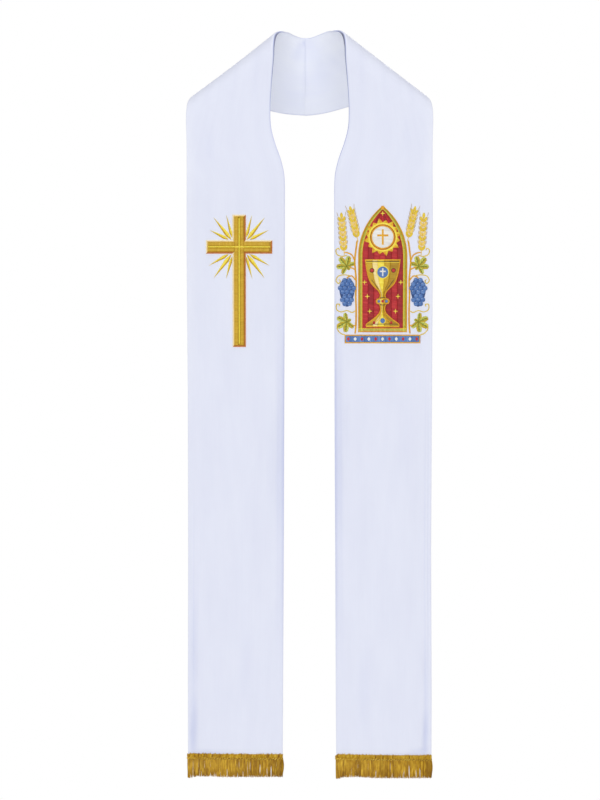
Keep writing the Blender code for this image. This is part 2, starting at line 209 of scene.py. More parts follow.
def sectionTable():
    inner = [row[1:4] for row in shoulderSections]
    outer = [row[4:7] for row in shoulderSections]
    for _, ix, iz, ox, oz in frontSections:
        inner.append((ix, float(chestDepth(iz)), iz))
        outer.append((ox, float(chestDepth(oz)), oz))
    inner = np.array(inner, float)
    outer = np.array(outer, float)
    innerRun = np.diff(inner, axis=0)
    outerRun = np.diff(outer, axis=0)
    innerRun[len(shoulderSections) - 1:, 1] = 0
    outerRun[len(shoulderSections) - 1:, 1] = 0
    runs = (np.linalg.norm(innerRun, axis=1) + np.linalg.norm(outerRun, axis=1)) / 2
    return inner, outer, np.concatenate(([0.0], np.cumsum(runs)))


innerEdge, outerEdge, stations = sectionTable()
rollEnd = stations[len(shoulderSections) - 1]
panelTop = stations[-2]
hemStation = stations[-1]


def edgeSlopes(edge):
    # mean of the runs before and after each section, the nearer one weighing more; level at the nape
    runs = np.diff(stations[:-1])
    rises = np.diff(edge[:-1], axis=0) / runs[:, None]
    middle = (rises[:-1] * runs[1:, None] + rises[1:] * runs[:-1, None]) / (runs[:-1] + runs[1:])[:, None]
    level = rises[:1] * (1, 0, 0)
    return np.vstack((level, middle, rises[-1:]))


innerSlopes = edgeSlopes(innerEdge)
outerSlopes = edgeSlopes(outerEdge)


def edgePoints(edge, slopes, station):
    index = np.clip(np.searchsorted(stations, station) - 1, 0, len(stations) - 3)
    run = (stations[index + 1] - stations[index])[..., None]
    share = (station - stations[index])[..., None] / run
    square = share * share
    cube = square * share
    curved = (edge[index] * (2 * cube - 3 * square + 1) + slopes[index] * run * (cube - 2 * square + share)
              + edge[index + 1] * (3 * square - 2 * cube) + slopes[index + 1] * run * (cube - square))
    straight = np.zeros_like(curved) + edge[-2]
    straight[..., 2] -= station - panelTop
    return np.where((station >= panelTop)[..., None], straight, curved)


def basePoints(across, station):
    inner = edgePoints(innerEdge, innerSlopes, station)
    outer = edgePoints(outerEdge, outerSlopes, station)
    point = inner + (outer - inner) * across[..., None]
    point[..., 1] = np.where(station > rollEnd, chestDepth(point[..., 2]), point[..., 1])
    return point


# The band sits a little to the wearer's right at the nape and higher by the left of the neck
nape = {"shift": -7.0, "reach": 170.0, "seamClose": 0.2, "seamReach": 10.0}
neckRise = {"height": {wearersRight: 0.0, wearersLeft: 2.0}, "station": 120.0, "reach": 80.0}
# and its lower edge at the back lifts a little before it goes under the fronts
lowerRises = {
    # height, level, half length
    wearersRight: (2.4, 100.0, 42.0),
    wearersLeft: (5.6, 84.0, 50.0),
}
# The panels narrow slightly downwards
drawnIn = (
    # level, millimetres at the right panel's inner and outer edge, and at the left panel's
    (-60, 0.0, 0.0, 0.0, 0.0),
    (-150, 0.0, 1.0, 0.0, 0.8),
    (-365, 0.0, 0.9, 0.0, 0.4),
    (-608, 1.0, 2.9, 0.4, 1.9),
    (-852, 1.8, 3.4, 1.5, 3.3),
    (-1095, 2.9, 3.0, 2.4, 2.4),
    (-1189, 3.6, 3.0, 3.1, 2.6),
)

# Soft forms of the cloth. Levels are heights on the front, and count on up along the cloth over
# the shoulder: the ridge is at about -29 and the nape seam at about +126.
crownHeight = 3.0
shoulderCrown = {wearersRight: -1.3, wearersLeft: -0.1}
edgeCurls = (
    # side, edge (0 inner, 1 outer), level, half length, depth, share of the width
    (wearersRight, 0, -700, 150, 3.5, 0.16),
    (wearersLeft, 0, -690, 160, 3.5, 0.16),
    (wearersRight, 1, -1189, 110, 2.5, 0.20),
    (wearersLeft, 1, -1189, 100, 2.0, 0.20),
)
softFolds = (
    # side, share of the width, level, half length, height, half width as a share
    (wearersRight, 0.35, -740, 200, 1.5, 0.24),
    (wearersRight, 0.72, -900, 230, -1.4, 0.25),
    (wearersLeft, 0.66, -770, 220, 1.4, 0.24),
    (wearersLeft, 0.32, -940, 210, -1.5, 0.25),
)
# Fine creases: places across are from the inner edge, levels from top to bottom. Their shade is
# painted shade: 0.5 darkens the cloth as its soft shadows do, and 1 is nearly black.
creases = (
    # side, across, level, across, level, half width, height (a trough is below 0), shade
    (wearersRight, 150, -880, 151, -1150, 10, -0.6, 0.08),
    (wearersRight, 150, -1080, 151, -1200, 10, -0.8, 0.15),
    (wearersRight, 156, -1120, 152, -1200, 6, -0.4, 0.06),
    (wearersRight, 158, -1183, 60, -1186, 10, -0.6, 0.13),
    (wearersRight, 150, -1178, 110, -1181, 7, -0.5, 0.07),
    (wearersRight, 6, -540, 9, -860, 9, -0.5, 0.06),
    (wearersRight, 22, -640, 18, -800, 12, -0.5, 0.03),
    (wearersRight, 128, -130, 96, -232, 12, -0.5, 0.02),
    (wearersRight, 104, -90, 66, -205, 15, 0.6, 0.0),
    (wearersRight, 40, -60, 30, -180, 12, -0.4, 0.02),
    (wearersRight, 60, -940, 66, -1120, 16, -0.5, 0.02),
    (wearersRight, 104, -640, 98, -830, 18, 0.5, 0.0),
    (wearersRight, 34, -1010, 30, -1150, 12, 0.5, 0.0),
    (wearersRight, 12, 124, 3, 35, 6, -1.6, 0.10),
    (wearersRight, 70, 110, 40, 40, 16, -1.2, 0.03),
    (wearersLeft, 150, -980, 151, -1200, 6, -0.5, 0.08),
    (wearersLeft, 151, -1110, 148, -1200, 8, -0.7, 0.14),
    (wearersLeft, 150, -1183, 60, -1188, 7, -0.5, 0.09),
    (wearersLeft, 156, -1176, 122, -1182, 9, -0.6, 0.10),
    (wearersLeft, 5, -530, 8, -880, 9, -0.5, 0.06),
    (wearersLeft, 16, -560, 20, -720, 12, -0.5, 0.03),
    (wearersLeft, 122, -120, 88, -228, 13, -0.5, 0.02),
    (wearersLeft, 100, -84, 70, -190, 15, 0.6, 0.0),
    (wearersLeft, 36, -66, 26, -176, 12, -0.4, 0.02),
    (wearersLeft, 50, -1000, 44, -1160, 16, -0.6, 0.03),
    (wearersLeft, 96, -860, 104, -1060, 18, 0.5, 0.0),
    (wearersLeft, 118, -600, 112, -760, 16, -0.4, 0.02),
    (wearersLeft, 96, 104, 60, 60, 18, -1.2, 0.03),
)
# Pressed lines where the turned-in edge shows through, as shallow grooves with painted shade along them
pressedLines = (
    # side, across, top level, bottom level, depth, shade
    (wearersLeft, 154.6, -440, -1250, 0.2, 0.06),
    (wearersLeft, 149.4, -480, -1250, 0.2, 0.07),
    (wearersRight, 151.0, -700, -1210, 0.15, 0.05),
    (wearersRight, 11.0, -300, -1210, 0.12, 0.02),
    (wearersLeft, 11.0, -300, -1210, 0.12, 0.02),
)
pressedHalfWidth = 1.7
edgeRolls = {
    # depth and width of the roll at the inner and at the outer edge
    "innerDepth": 1.0, "innerWidth": 3.6, "outerDepth": 0.6, "outerWidth": 2.6,
}
# The inner edge rolls in hard beside the neck, and painted shade along it makes a dark line that thins out
# downwards
neckRoll = {
    "depth": 3.4, "width": 6.5, "level": -40, "halfLength": 130,
    "start": -12, "strongest": -46, "end": -230, "lineWidth": 2.9, "leastWidth": 0.4,
    "lineShade": {wearersRight: 0.84, wearersLeft: 0.92},
    "thinWidth": 1.5, "thinEnd": -420, "thinShade": {wearersRight: 0.58, wearersLeft: 0.84},
}
# Both panels' inner edges lie in soft shadow, as does the edge beside the neck
innerShades = (
    # depth, width, level, half length
    (0.17, 5.5, -690, 440),
    (0.10, 17.0, -700, 480),
    (0.10, 5.0, -170, 150),
)
# and their outer edges get painted light, as a little painted shade covers the rest of the cloth
edgeLight = {"depth": 0.06, "width": 18.0, "level": -280, "halfLength": 420}


def bell(distance, halfWidth):
    share = np.minimum(np.abs(distance) / halfWidth, 1.0)
    return (1 - share * share) ** 2


def levelOf(station):
    return panelTopLevel - (station - panelTop)


def bandWidth(station):
    inner = edgePoints(innerEdge, innerSlopes, station)
    outer = edgePoints(outerEdge, outerSlopes, station)
    return np.linalg.norm(outer - inner, axis=-1)


def creaseMask(place, level, start, end, halfWidth):
    # 1 on the line from start to end, easing to 0 beside it and towards both its ends
    line = np.subtract(end, start)
    length = math.hypot(*line)
    along = ((place - start[0]) * line[0] + (level - start[1]) * line[1]) / length
    beside = ((place - start[0]) * line[1] - (level - start[1]) * line[0]) / length
    return bell(beside, halfWidth) * bell(along - length / 2, length / 2 + halfWidth)


def fineForm(side, place, level):
    # height and shade of the creases and of the pressed lines
    height = np.zeros_like(place)
    shade = np.zeros_like(place)
    for creaseSide, x1, level1, x2, level2, halfWidth, rise, paintedShade in creases:
        if creaseSide == side:
            mask = creaseMask(place, level, (x1, level1), (x2, level2), halfWidth)
            height += rise * mask
            shade += paintedShade * mask
    for lineSide, line, top, bottom, depth, paintedShade in pressedLines:
        if lineSide == side:
            mask = bell(level - (top + bottom) / 2, (top - bottom) / 2) * bell(place - line, pressedHalfWidth)
            height -= depth * mask
            shade += paintedShade * mask
    return height, shade


def nearEdge(distance, reach):
    return np.clip(1 - distance / reach, 0, 1)


def relief(side, across, station):
    level = levelOf(station)
    width = bandWidth(station)
    place = across * width
    frontShare = np.clip((station - rollEnd) / (panelTop - rollEnd), 0, 1)
    crown = shoulderCrown[side] + (crownHeight - shoulderCrown[side]) * frontShare
    height = crown * (1 - (2 * across - 1) ** 2) + fineForm(side, place, level)[0]
    for curlSide, edge, middle, halfLength, depth, reach in edgeCurls:
        if curlSide == side:
            height -= depth * bell(level - middle, halfLength) * bell(across - edge, reach)
    for foldSide, fold, middle, halfLength, foldHeight, halfWidth in softFolds:
        if foldSide == side:
            height += foldHeight * bell(level - middle, halfLength) * bell(across - fold, halfWidth)
    height -= edgeRolls["innerDepth"] * nearEdge(place, edgeRolls["innerWidth"]) ** 2
    height -= edgeRolls["outerDepth"] * nearEdge(width - place, edgeRolls["outerWidth"]) ** 2
    neck = bell(level - neckRoll["level"], neckRoll["halfLength"])
    return height - neckRoll["depth"] * neck * nearEdge(place, neckRoll["width"]) ** 2


def clothShade(side, across, station):
    # painted shade of the cloth in its troughs and along its turned edges, with painted light at its outer
    # edges
    level = levelOf(station)
    width = bandWidth(station)
    place = across * width
    # painted shade of edgeLight's depth over the cloth, taken off near the outer edges as painted light
    lit = bell(level - edgeLight["level"], edgeLight["halfLength"])
    lit = lit * nearEdge(width - place, edgeLight["width"])
    shade = edgeLight["depth"] * (1 - lit) + fineForm(side, place, level)[1]
    for depth, reach, middle, halfLength in innerShades:
        shade += depth * nearEdge(place, reach) * bell(level - middle, halfLength)
    onset = np.clip((neckRoll["start"] - level) / (neckRoll["start"] - neckRoll["strongest"]), 0, 1)
    for end, lineWidth, depth in (("end", "lineWidth", "lineShade"), ("thinEnd", "thinWidth", "thinShade")):
        fading = onset * np.clip((level - neckRoll[end]) / (neckRoll["strongest"] - neckRoll[end]), 0, 1)
        line = np.clip(2 - 2 * place / (neckRoll[lineWidth] * fading + neckRoll["leastWidth"]), 0, 1)
        shade = np.maximum(shade, neckRoll[depth][side] * np.sqrt(fading) * line)
    return shade


def clothPoints(side, across, station, lift=0.0):
    point = basePoints(across, station)
    alongWidth = basePoints(across + 0.01, station) - basePoints(across - 0.01, station)
    alongBand = basePoints(across, station + 1.0) - basePoints(across, station - 1.0)
    outward = np.cross(alongBand, alongWidth)
    outward /= np.linalg.norm(outward, axis=-1, keepdims=True)
    point = point + outward * (relief(side, across, station) + lift)[..., None]
    level = levelOf(station)
    levels, *edges = np.array(drawnIn)[::-1].T
    inner, outer = edges[:2] if side == wearersRight else edges[2:]
    point[..., 0] += np.interp(level, levels, inner) * (1 - across) - np.interp(level, levels, outer) * across
    point[..., 0] -= nape["seamClose"] * bell(station, nape["seamReach"])
    point[..., 0] = point[..., 0] * side + nape["shift"] * bell(station, nape["reach"])
    rise = neckRise["height"][side] * bell(station - neckRise["station"], neckRise["reach"])
    point[..., 2] += rise * (1 - across) ** 2
    rise, middle, reach = lowerRises[side]
    point[..., 2] += rise * bell(level - middle, reach) * across ** 2
    return point * mm


def panelPoints(side, flat):
    # flat holds the distance to the body's middle, the level and the lift off the cloth
    across = (flat[:, 0] - panelInner) / (panelOuter - panelInner)
    return clothPoints(side, across, panelTop + panelTopLevel - flat[:, 1], flat[:, 2])


# Shader groups

def newGroup(name, inputs, outputs):
    group = bpy.data.node_groups.new(name, "ShaderNodeTree")
    for socket, kind, default in inputs:
        made = group.interface.new_socket(name=socket, in_out="INPUT", socket_type=kind)
        if default is not None:
            made.default_value = default
    for socket, kind in outputs:
        group.interface.new_socket(name=socket, in_out="OUTPUT", socket_type=kind)
    return group, addNode(group, "NodeGroupInput"), addNode(group, "NodeGroupOutput")


def mathNode(tree, operation, first, second=0.0):
    return addNode(tree, "ShaderNodeMath", {0: first, 1: second}, operation=operation).outputs[0]


def times(tree, first, second):
    return mathNode(tree, "MULTIPLY", first, second)


def plus(tree, first, second):
    return mathNode(tree, "ADD", first, second)


def weighed(tree, first, firstShare, second, secondShare):
    return plus(tree, times(tree, first, firstShare), times(tree, second, secondShare))


def ridges(tree, value, turn=math.pi):
    # rounded ridges side by side
    return mathNode(tree, "ABSOLUTE", mathNode(tree, "SINE", times(tree, value, turn)))


def noise(tree, vector, scale, detail):
    made = addNode(tree, "ShaderNodeTexNoise", {"Vector": vector, "Scale": scale, "Detail": detail})
    return made.outputs["Fac"]


def vectorOf(tree, x, y, z):
    return addNode(tree, "ShaderNodeCombineXYZ", {0: x, 1: y, 2: z}).outputs[0]


def stretched(tree, vector, scale):
    return addNode(tree, "ShaderNodeMapping", {"Vector": vector, "Scale": scale}).outputs[0]


def makeClothGroup():
    # warp and weft of a fine satin twill, with uneven yarns and a faint mottle
    group, given, result = newGroup(
        "cloth weave",
        (("Place", "NodeSocketVector", None), ("Yarn", "NodeSocketFloat", 0.0005),
         ("Slub", "NodeSocketFloat", 0.5)),
        (("Height", "NodeSocketFloat"), ("Tone", "NodeSocketFloat")))
    place = given.outputs["Place"]
    slub = given.outputs["Slub"]
    perYarn = mathNode(group, "DIVIDE", 1.0, given.outputs["Yarn"])
    counted = addNode(group, "ShaderNodeVectorMath", {0: place, "Scale": perYarn}, operation="SCALE")
    parts = addNode(group, "ShaderNodeSeparateXYZ", {0: counted.outputs[0]})
    warp = ridges(group, parts.outputs[0])
    diagonal = plus(group, parts.outputs[0], times(group, parts.outputs[1], 0.5))
    weave = weighed(group, warp, 0.4, ridges(group, diagonal, math.pi / 2), 0.6)
    yarns = noise(group, stretched(group, place, (420, 9, 1)), 1.0, 3.0)
    mottle = noise(group, stretched(group, place, (34, 8, 1)), 1.0, 4.0)
    tone = weighed(group, yarns, slub, mottle, mathNode(group, "SUBTRACT", 1.0, slub))
    group.links.new(weave, result.inputs["Height"])
    group.links.new(tone, result.inputs["Tone"])
    return group


def makeStitchGroup():
    # satin stitches side by side along a column: Place is along, across and a number for the run
    group, given, result = newGroup(
        "satin stitches",
        (("Place", "NodeSocketVector", None), ("Pitch", "NodeSocketFloat", 0.0006)),
        (("Height", "NodeSocketFloat"), ("Tone", "NodeSocketFloat")))
    along, across, run = addNode(group, "ShaderNodeSeparateXYZ", {0: given.outputs["Place"]}).outputs
    slant = plus(group, along, times(group, across, 0.12))
    rows = mathNode(group, "DIVIDE", slant, given.outputs["Pitch"])
    fine = vectorOf(group, rows, times(group, across, 90), times(group, run, 31))
    streak = noise(group, fine, 0.9, 2.0)
    broad = noise(group, fine, 0.16, 2.0)
    height = plus(group, ridges(group, rows), times(group, streak, 0.5))
    group.links.new(height, result.inputs["Height"])
    group.links.new(weighed(group, streak, 0.5, broad, 0.5), result.inputs["Tone"])
    return group


def makeTwistGroup():
    # plies turning round a cord: Place is along, round (0 to 1) and a number for the cord
    group, given, result = newGroup(
        "cord twist",
        (("Place", "NodeSocketVector", None), ("Lay", "NodeSocketFloat", 0.0032),
         ("Tips", "NodeSocketFloat", 0.0)),
        (("Height", "NodeSocketFloat"), ("Tone", "NodeSocketFloat")))
    along, around, cord = addNode(group, "ShaderNodeSeparateXYZ", {0: given.outputs["Place"]}).outputs
    turns = plus(group, mathNode(group, "DIVIDE", along, given.outputs["Lay"]), around)
    ply = ridges(group, turns, 2 * math.pi)
    spread = vectorOf(group, times(group, along, 60), around, times(group, cord, 57))
    tone = weighed(group, ply, 0.12, noise(group, spread, 1.3, 2.0), 0.9)
    # the ends of the fringe, from 16 mm on, are darker
    ends = mathNode(group, "MAXIMUM", mathNode(group, "SUBTRACT", along, 0.016))
    tone = mathNode(group, "SUBTRACT", tone, times(group, ends, given.outputs["Tips"]))
    group.links.new(ply, result.inputs["Height"])
    group.links.new(tone, result.inputs["Tone"])
    return group


clothWeave = makeClothGroup()
satinStitches = makeStitchGroup()
cordTwist = makeTwistGroup()


# Materials. Colours are named as they look in the light, 0 to 255.

def paint(red, green, blue):
    channels = [c / 255 for c in (red, green, blue)]
    return tuple(c / 12.92 if c <= 0.04045 else ((c + 0.055) / 1.055) ** 2.4 for c in channels) + (1.0,)


def startMaterial(name, roughness, specular, sheen):
    material = bpy.data.materials.new(name)
    material.use_nodes = True
    surface = material.node_tree.nodes["Principled BSDF"]
    for socket, value in (("Roughness", roughness), ("Specular IOR Level", specular),
                          ("Sheen Weight", sheen), ("Sheen Roughness", 0.4)):
        surface.inputs[socket].default_value = value
    return material, material.node_tree, surface


def readAttribute(tree, name, output):
    return addNode(tree, "ShaderNodeAttribute", attribute_name=name).outputs[output]


def threeTones(tree, tone, first, middle, last, start=0.28, end=0.72):
    ramp = addNode(tree, "ShaderNodeValToRGB", {0: tone})
    for element, place, colour in zip(ramp.color_ramp.elements, (start, end), (first, last)):
        element.position = place
        element.color = colour
    ramp.color_ramp.elements.new(0.5).color = middle
    return ramp.outputs[0]


def addBump(tree, surface, height, strength, distance):
    bump = addNode(tree, "ShaderNodeBump", {"Height": height, "Strength": strength, "Distance": distance})
    tree.links.new(bump.outputs[0], surface.inputs["Normal"])


def makeClothMaterial(name, look):
    material, tree, surface = startMaterial(name, look["roughness"], look["specular"], look["sheen"])
    place = readAttribute(tree, "clothPlace", "Vector")
    weave = addNode(tree, "ShaderNodeGroup", {"Place": place, "Yarn": look["yarn"], "Slub": look["slub"]},
                    node_tree=clothWeave)
    colour = threeTones(tree, weave.outputs["Tone"], look["dark"], look["base"], look["light"])
    # the clothShade attribute holds painted shade, multiplied into the cloth's colour
    shade = readAttribute(tree, "clothShade", "Fac")
    paintedShade = threeTones(tree, shade, (1, 1, 1, 1), look["shadow"], look["darkest"], 0.0, 1.0)
    # inputs 0, 6 and 7 of a colour mix are its factor and its two colours, and output 2 is the result
    shadedColour = addNode(tree, "ShaderNodeMix", {0: 1.0, 6: colour, 7: paintedShade},
                     data_type="RGBA", blend_type="MULTIPLY")
    tree.links.new(shadedColour.outputs[2], surface.inputs["Base Color"])
    addBump(tree, surface, weave.outputs["Height"], look["bump"], look["yarn"] * 0.3)
    return material


threadFinish = {"roughness": 0.42, "specular": 0.3, "sheen": 0.03, "bump": 0.5, "bumpDepth": 0.00015}


def makeThreadMaterial(name, tones, pattern, tips=None):
    material, tree, surface = startMaterial(
        name, threadFinish["roughness"], threadFinish["specular"], threadFinish["sheen"])
    given = {"Place": readAttribute(tree, "stitch", "Vector")}
    if tips:
        given["Tips"] = tips
    thread = addNode(tree, "ShaderNodeGroup", given, node_tree=pattern)
    colour = threeTones(tree, thread.outputs["Tone"], *(paint(*tone) for tone in tones))
    tree.links.new(colour, surface.inputs["Base Color"])
    addBump(tree, surface, thread.outputs["Height"], threadFinish["bump"], threadFinish["bumpDepth"])
    return material


# shadow and darkest are the tints of painted shade on the cloth's own colour
faceLook = {
    "dark": paint(231, 234, 248), "base": paint(234, 237, 250), "light": paint(237, 240, 252),
    "shadow": (0.56, 0.60, 0.82, 1.0), "darkest": (0.11, 0.11, 0.14, 1.0),
    "roughness": 0.55, "specular": 0.25, "sheen": 0.08, "yarn": 0.0005, "slub": 0.25, "bump": 0.22,
}
liningLook = {
    "dark": paint(239, 242, 255), "base": paint(242, 245, 255), "light": paint(245, 248, 255),
    "shadow": (0.56, 0.60, 0.82, 1.0), "darkest": (0.11, 0.11, 0.14, 1.0),
    "roughness": 0.5, "specular": 0.3, "sheen": 0.08, "yarn": 0.00035, "slub": 0.25, "bump": 0.2,
}
threadLooks = (
    # name, dark, base, light
    ("old gold", (180, 140, 24), (206, 165, 38), (219, 183, 60)),
    ("deep gold", (154, 114, 18), (178, 138, 30), (196, 158, 48)),
    ("olive gold", (174, 150, 30), (196, 171, 44), (212, 188, 64)),
    ("cream gold", (244, 224, 172), (253, 237, 196), (255, 245, 214)),
    ("light gold", (228, 190, 88), (242, 208, 108), (248, 220, 134)),
    ("brown gold", (176, 120, 32), (202, 142, 46), (216, 162, 68)),
    ("pale gold", (236, 208, 124), (248, 226, 150), (252, 238, 184)),
    ("copper", (178, 102, 44), (204, 126, 62), (222, 150, 86)),
    ("bright yellow", (232, 200, 44), (250, 228, 76), (254, 240, 112)),
    ("yellow", (206, 168, 38), (232, 200, 52), (246, 222, 88)),
    ("white", (214, 210, 204), (236, 234, 230), (248, 248, 246)),
    ("lime", (170, 172, 62), (202, 204, 92), (226, 226, 134)),
    ("leaf green", (96, 108, 36), (128, 138, 50), (156, 162, 72)),
    ("red", (140, 22, 28), (186, 38, 44), (214, 70, 70)),
    ("deep red", (122, 20, 26), (158, 30, 36), (186, 48, 52)),
    ("blue", (52, 84, 140), (84, 122, 184), (128, 162, 214)),
    ("deep blue", (34, 54, 98), (52, 80, 134), (80, 112, 168)),
    ("dark brown", (62, 44, 28), (84, 62, 38), (112, 84, 52)),
    ("flame gold", (206, 140, 24), (230, 168, 34), (244, 196, 66)),
)
faceCloth = makeClothMaterial("face cloth", faceLook)
liningCloth = makeClothMaterial("lining cloth", liningLook)
threads = {name: makeThreadMaterial(name + " thread", tones, satinStitches) for name, *tones in threadLooks}
fringeLooks = (
    # name, dark, base, light, pattern, how much the ends darken
    ("fringe braid", (150, 106, 12), (193, 150, 26), (230, 192, 56), satinStitches, 0.0),
    ("fringe cord", (134, 90, 8), (187, 141, 22), (232, 194, 62), cordTwist, 7.0),
    ("fringe chain", (168, 126, 24), (204, 164, 38), (238, 208, 80), cordTwist, 0.0),
    ("shaded fringe cord", (112, 74, 6), (160, 116, 14), (204, 164, 42), cordTwist, 6.0),
)
fringeThreads = [makeThreadMaterial(name, tones, pattern, tips)
                 for name, *tones, pattern, tips in fringeLooks]
print("materials made:", len(bpy.data.materials))


def finishPiece(bm, name, materials, nodes=(), sharp=None):
    mesh = bpy.data.meshes.new(name)
    bm.to_mesh(mesh)
    bm.free()
    for material in materials:
        mesh.materials.append(material)
    mesh.shade_smooth()
    if sharp:
        mesh.set_sharp_from_angle(angle=math.radians(sharp))
    piece = addObject(name, mesh)
    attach(piece, "root")
    if nodes:
        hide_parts(*nodes)
    return piece


# Face cloth and lining

faceBand = {
    "columns": 84, "rowStep": 4.0, "wall": 1.4, "rounding": 0.62,
    "inset": 0.0, "hemInset": 0.0, "lift": 0.0,
}
# the lining lies under the wall of the face cloth, 0.3 mm from it
liningBand = {
    "columns": 40, "rowStep": 5.5, "wall": 1.0, "rounding": 0.3,
    "inset": 0.009, "hemInset": 6.0, "lift": -1.7,
}
finerAtEdges = 1.5
edgeRounding = {"segments": 3, "fromAngle": 50}


def makeBand(name, side, band, shadeOf, material, node):
    length = hemStation - band["hemInset"]
    rows = round(length / band["rowStep"])
    bm = bmesh.new()
    bmesh.ops.create_grid(bm, x_segments=band["columns"], y_segments=rows, size=1.0)
    placeLayer = bm.verts.layers.float_vector.new("clothPlace")
    shadeLayer = bm.verts.layers.float.new("clothShade")
    grid = np.array([vert.co[:] for vert in bm.verts])
    # columns lie closer together towards both edges
    fromEdge = 0.5 * (1 - np.abs(grid[:, 0])) ** finerAtEdges
    across = np.where(grid[:, 0] * side < 0, fromEdge, 1 - fromEdge)
    across = np.where(np.abs(grid[:, 0]) < 1e-6, 0.5, across)
    across = band["inset"] + across * (1 - 2 * band["inset"])
    station = (1 - grid[:, 1]) / 2 * length
    points = clothPoints(side, across, station, band["lift"])
    places = across * bandWidth(station)
    shades = shadeOf(side, across, station)
    for vert, point, place, run, shade in zip(bm.verts, points, places, station, shades):
        vert.co = point
        vert[placeLayer] = (place * mm, run * mm, 0)
        vert[shadeLayer] = shade
    piece = finishPiece(bm, name, [material], [node])
    solidify = piece.modifiers.new("wall", "SOLIDIFY")
    solidify.thickness = band["wall"] * mm
    solidify.offset = -1
    solidify.use_even_offset = True
    rounded = piece.modifiers.new("rounded edge", "BEVEL")
    rounded.width = band["rounding"] * mm
    rounded.segments = edgeRounding["segments"]
    rounded.limit_method = "ANGLE"
    rounded.angle_limit = math.radians(edgeRounding["fromAngle"])
    return piece


# Soft shade on the lining inside the neck
liningShades = (
    # side, across, level of the middle, half width, half height, shade
    (wearersRight, 22, 104, 26, 26, 0.05),
    (wearersLeft, 60, 96, 34, 26, 0.04),
    (wearersRight, 112, 118, 30, 34, 0.05),
    (wearersRight, 20, 112, 50, 46, 0.045),
    (wearersRight, 85, 112, 50, 46, 0.04),
    (wearersRight, 9, 121, 8, 9, 0.12),
    (wearersRight, 7, 113, 6, 9, 0.08),
    (wearersLeft, 50, 66, 22, 20, 0.05),
    (wearersLeft, 46, 90, 12, 16, 0.03),
    (wearersLeft, 12, 104, 50, 50, 0.075),
    (wearersLeft, 80, 110, 60, 46, 0.045),
)
seamShade = {"line": 0.09, "lineWidth": 1.0, "soft": 0.03, "softWidth": 5.0, "fadesOver": 110.0}
lowerEdgeShade = {"depth": 0.16, "width": 3.0, "level": 126, "halfLength": 110}


def liningShade(side, across, station):
    level = levelOf(station)
    width = bandWidth(station)
    place = across * width
    fromSeam = station * (innerSlopes[0][0] + (outerSlopes[0][0] - innerSlopes[0][0]) * across)
    shade = seamShade["line"] * nearEdge(fromSeam, seamShade["lineWidth"])
    shade += seamShade["soft"] * nearEdge(fromSeam, seamShade["softWidth"])
    shade *= nearEdge(place, seamShade["fadesOver"])
    for spotSide, x, spotLevel, halfWidth, halfHeight, depth in liningShades:
        if spotSide == side:
            shade += depth * bell(place - x, halfWidth) * bell(level - spotLevel, halfHeight)
    low = bell(level - lowerEdgeShade["level"], lowerEdgeShade["halfLength"])
    return shade + lowerEdgeShade["depth"] * low * nearEdge(width - place, lowerEdgeShade["width"])


for side, sideName in sideNames.items():
    makeBand("face." + sideName, side, faceBand, clothShade, faceCloth,
                            "shell." + sideName)
    makeBand("inside." + sideName, side, liningBand, liningShade, liningCloth,
                             "lining." + sideName)
print("cloth bands made")


# Embroidery tools. A column of satin stitch lies between two curves, in flat millimetres.

work = {
    # middle of the embroidery on each panel, and how far it lies off the cloth or off what is under it
    "middle": {wearersRight: (114.7, -360.3), wearersLeft: (118.7, -403.5)}, "onCloth": 0.06, "onArch": 0.9,
    # edges of more than this angle stay sharp
    "sharp": 50,
}
columnForm = {
    # the rounded edge's width and its largest share of the column
    "edge": 1.1, "edgeShare": 0.38,
    # the shoulder on that edge, and where the crown starts
    "shoulder": 0.3, "shoulderLift": 0.7, "crownStart": 0.36, "leastGap": 0.02,
}


def joined(*parts):
    return np.stack(parts, axis=1)


def runOf(points):
    return np.concatenate(([0.0], np.cumsum(np.linalg.norm(np.diff(points, axis=0), axis=1))))


def throughPoints(points, step=1.0):
    # a smooth curve through the points, with about one point each step
    points = np.array(points, float)
    points = np.vstack((2 * points[0] - points[1], points, 2 * points[-1] - points[-2]))
    made = []
    for before, start, end, after in zip(points, points[1:], points[2:], points[3:]):
        steps = max(2, round(np.linalg.norm(end - start) / step))
        bend = 2 * before - 5 * start + 4 * end - after
        twist = 3 * start - before - 3 * end + after
        for t in np.arange(steps) / steps:
            made.append(0.5 * (2 * start + (end - before) * t + bend * t * t + twist * t ** 3))
    return np.array(made + [points[-2]])


def evenly(start, end, step=3.0):
    start = np.array(start, float)
    end = np.array(end, float)
    steps = max(1, round(np.linalg.norm(end - start) / step))
    return start + (end - start) * np.linspace(0, 1, steps + 1)[:, None]


def besideCurve(curve, distance):
    tangent = np.vstack((curve[1:], curve[-1:])) - np.vstack((curve[:1], curve[:-1]))
    normal = joined(-tangent[:, 1], tangent[:, 0])
    normal /= np.maximum(np.linalg.norm(normal, axis=1, keepdims=True), 1e-9)
    return curve + normal * np.reshape(distance, (-1, 1))


def turned(points, degrees, across=0.0, up=0.0):
    x, y = np.array(points, float).T
    sine = math.sin(math.radians(degrees))
    cosine = math.cos(math.radians(degrees))
    return joined(x * cosine - y * sine, x * sine + y * cosine) + (across, up)


def newStitchWork():
    bm = bmesh.new()
    bm.verts.layers.float_vector.new("stitch")
    return bm


def closeAndJoin(part, bm, material):
    # weld the seam of a rolled-up grid, cap its ends and add it to the rest of the piece
    bmesh.ops.remove_doubles(part, verts=part.verts[:], dist=0.0005)
    rims = [edge for edge in part.edges if edge.is_boundary]
    if rims:
        bmesh.ops.holes_fill(part, edges=rims, sides=0)
    bmesh.ops.recalc_face_normals(part, faces=part.faces[:])
    for face in part.faces:
        face.material_index = material
    mesh = bpy.data.meshes.new("part")
    part.to_mesh(mesh)
    part.free()
    bm.from_mesh(mesh)
    bpy.data.meshes.remove(mesh)


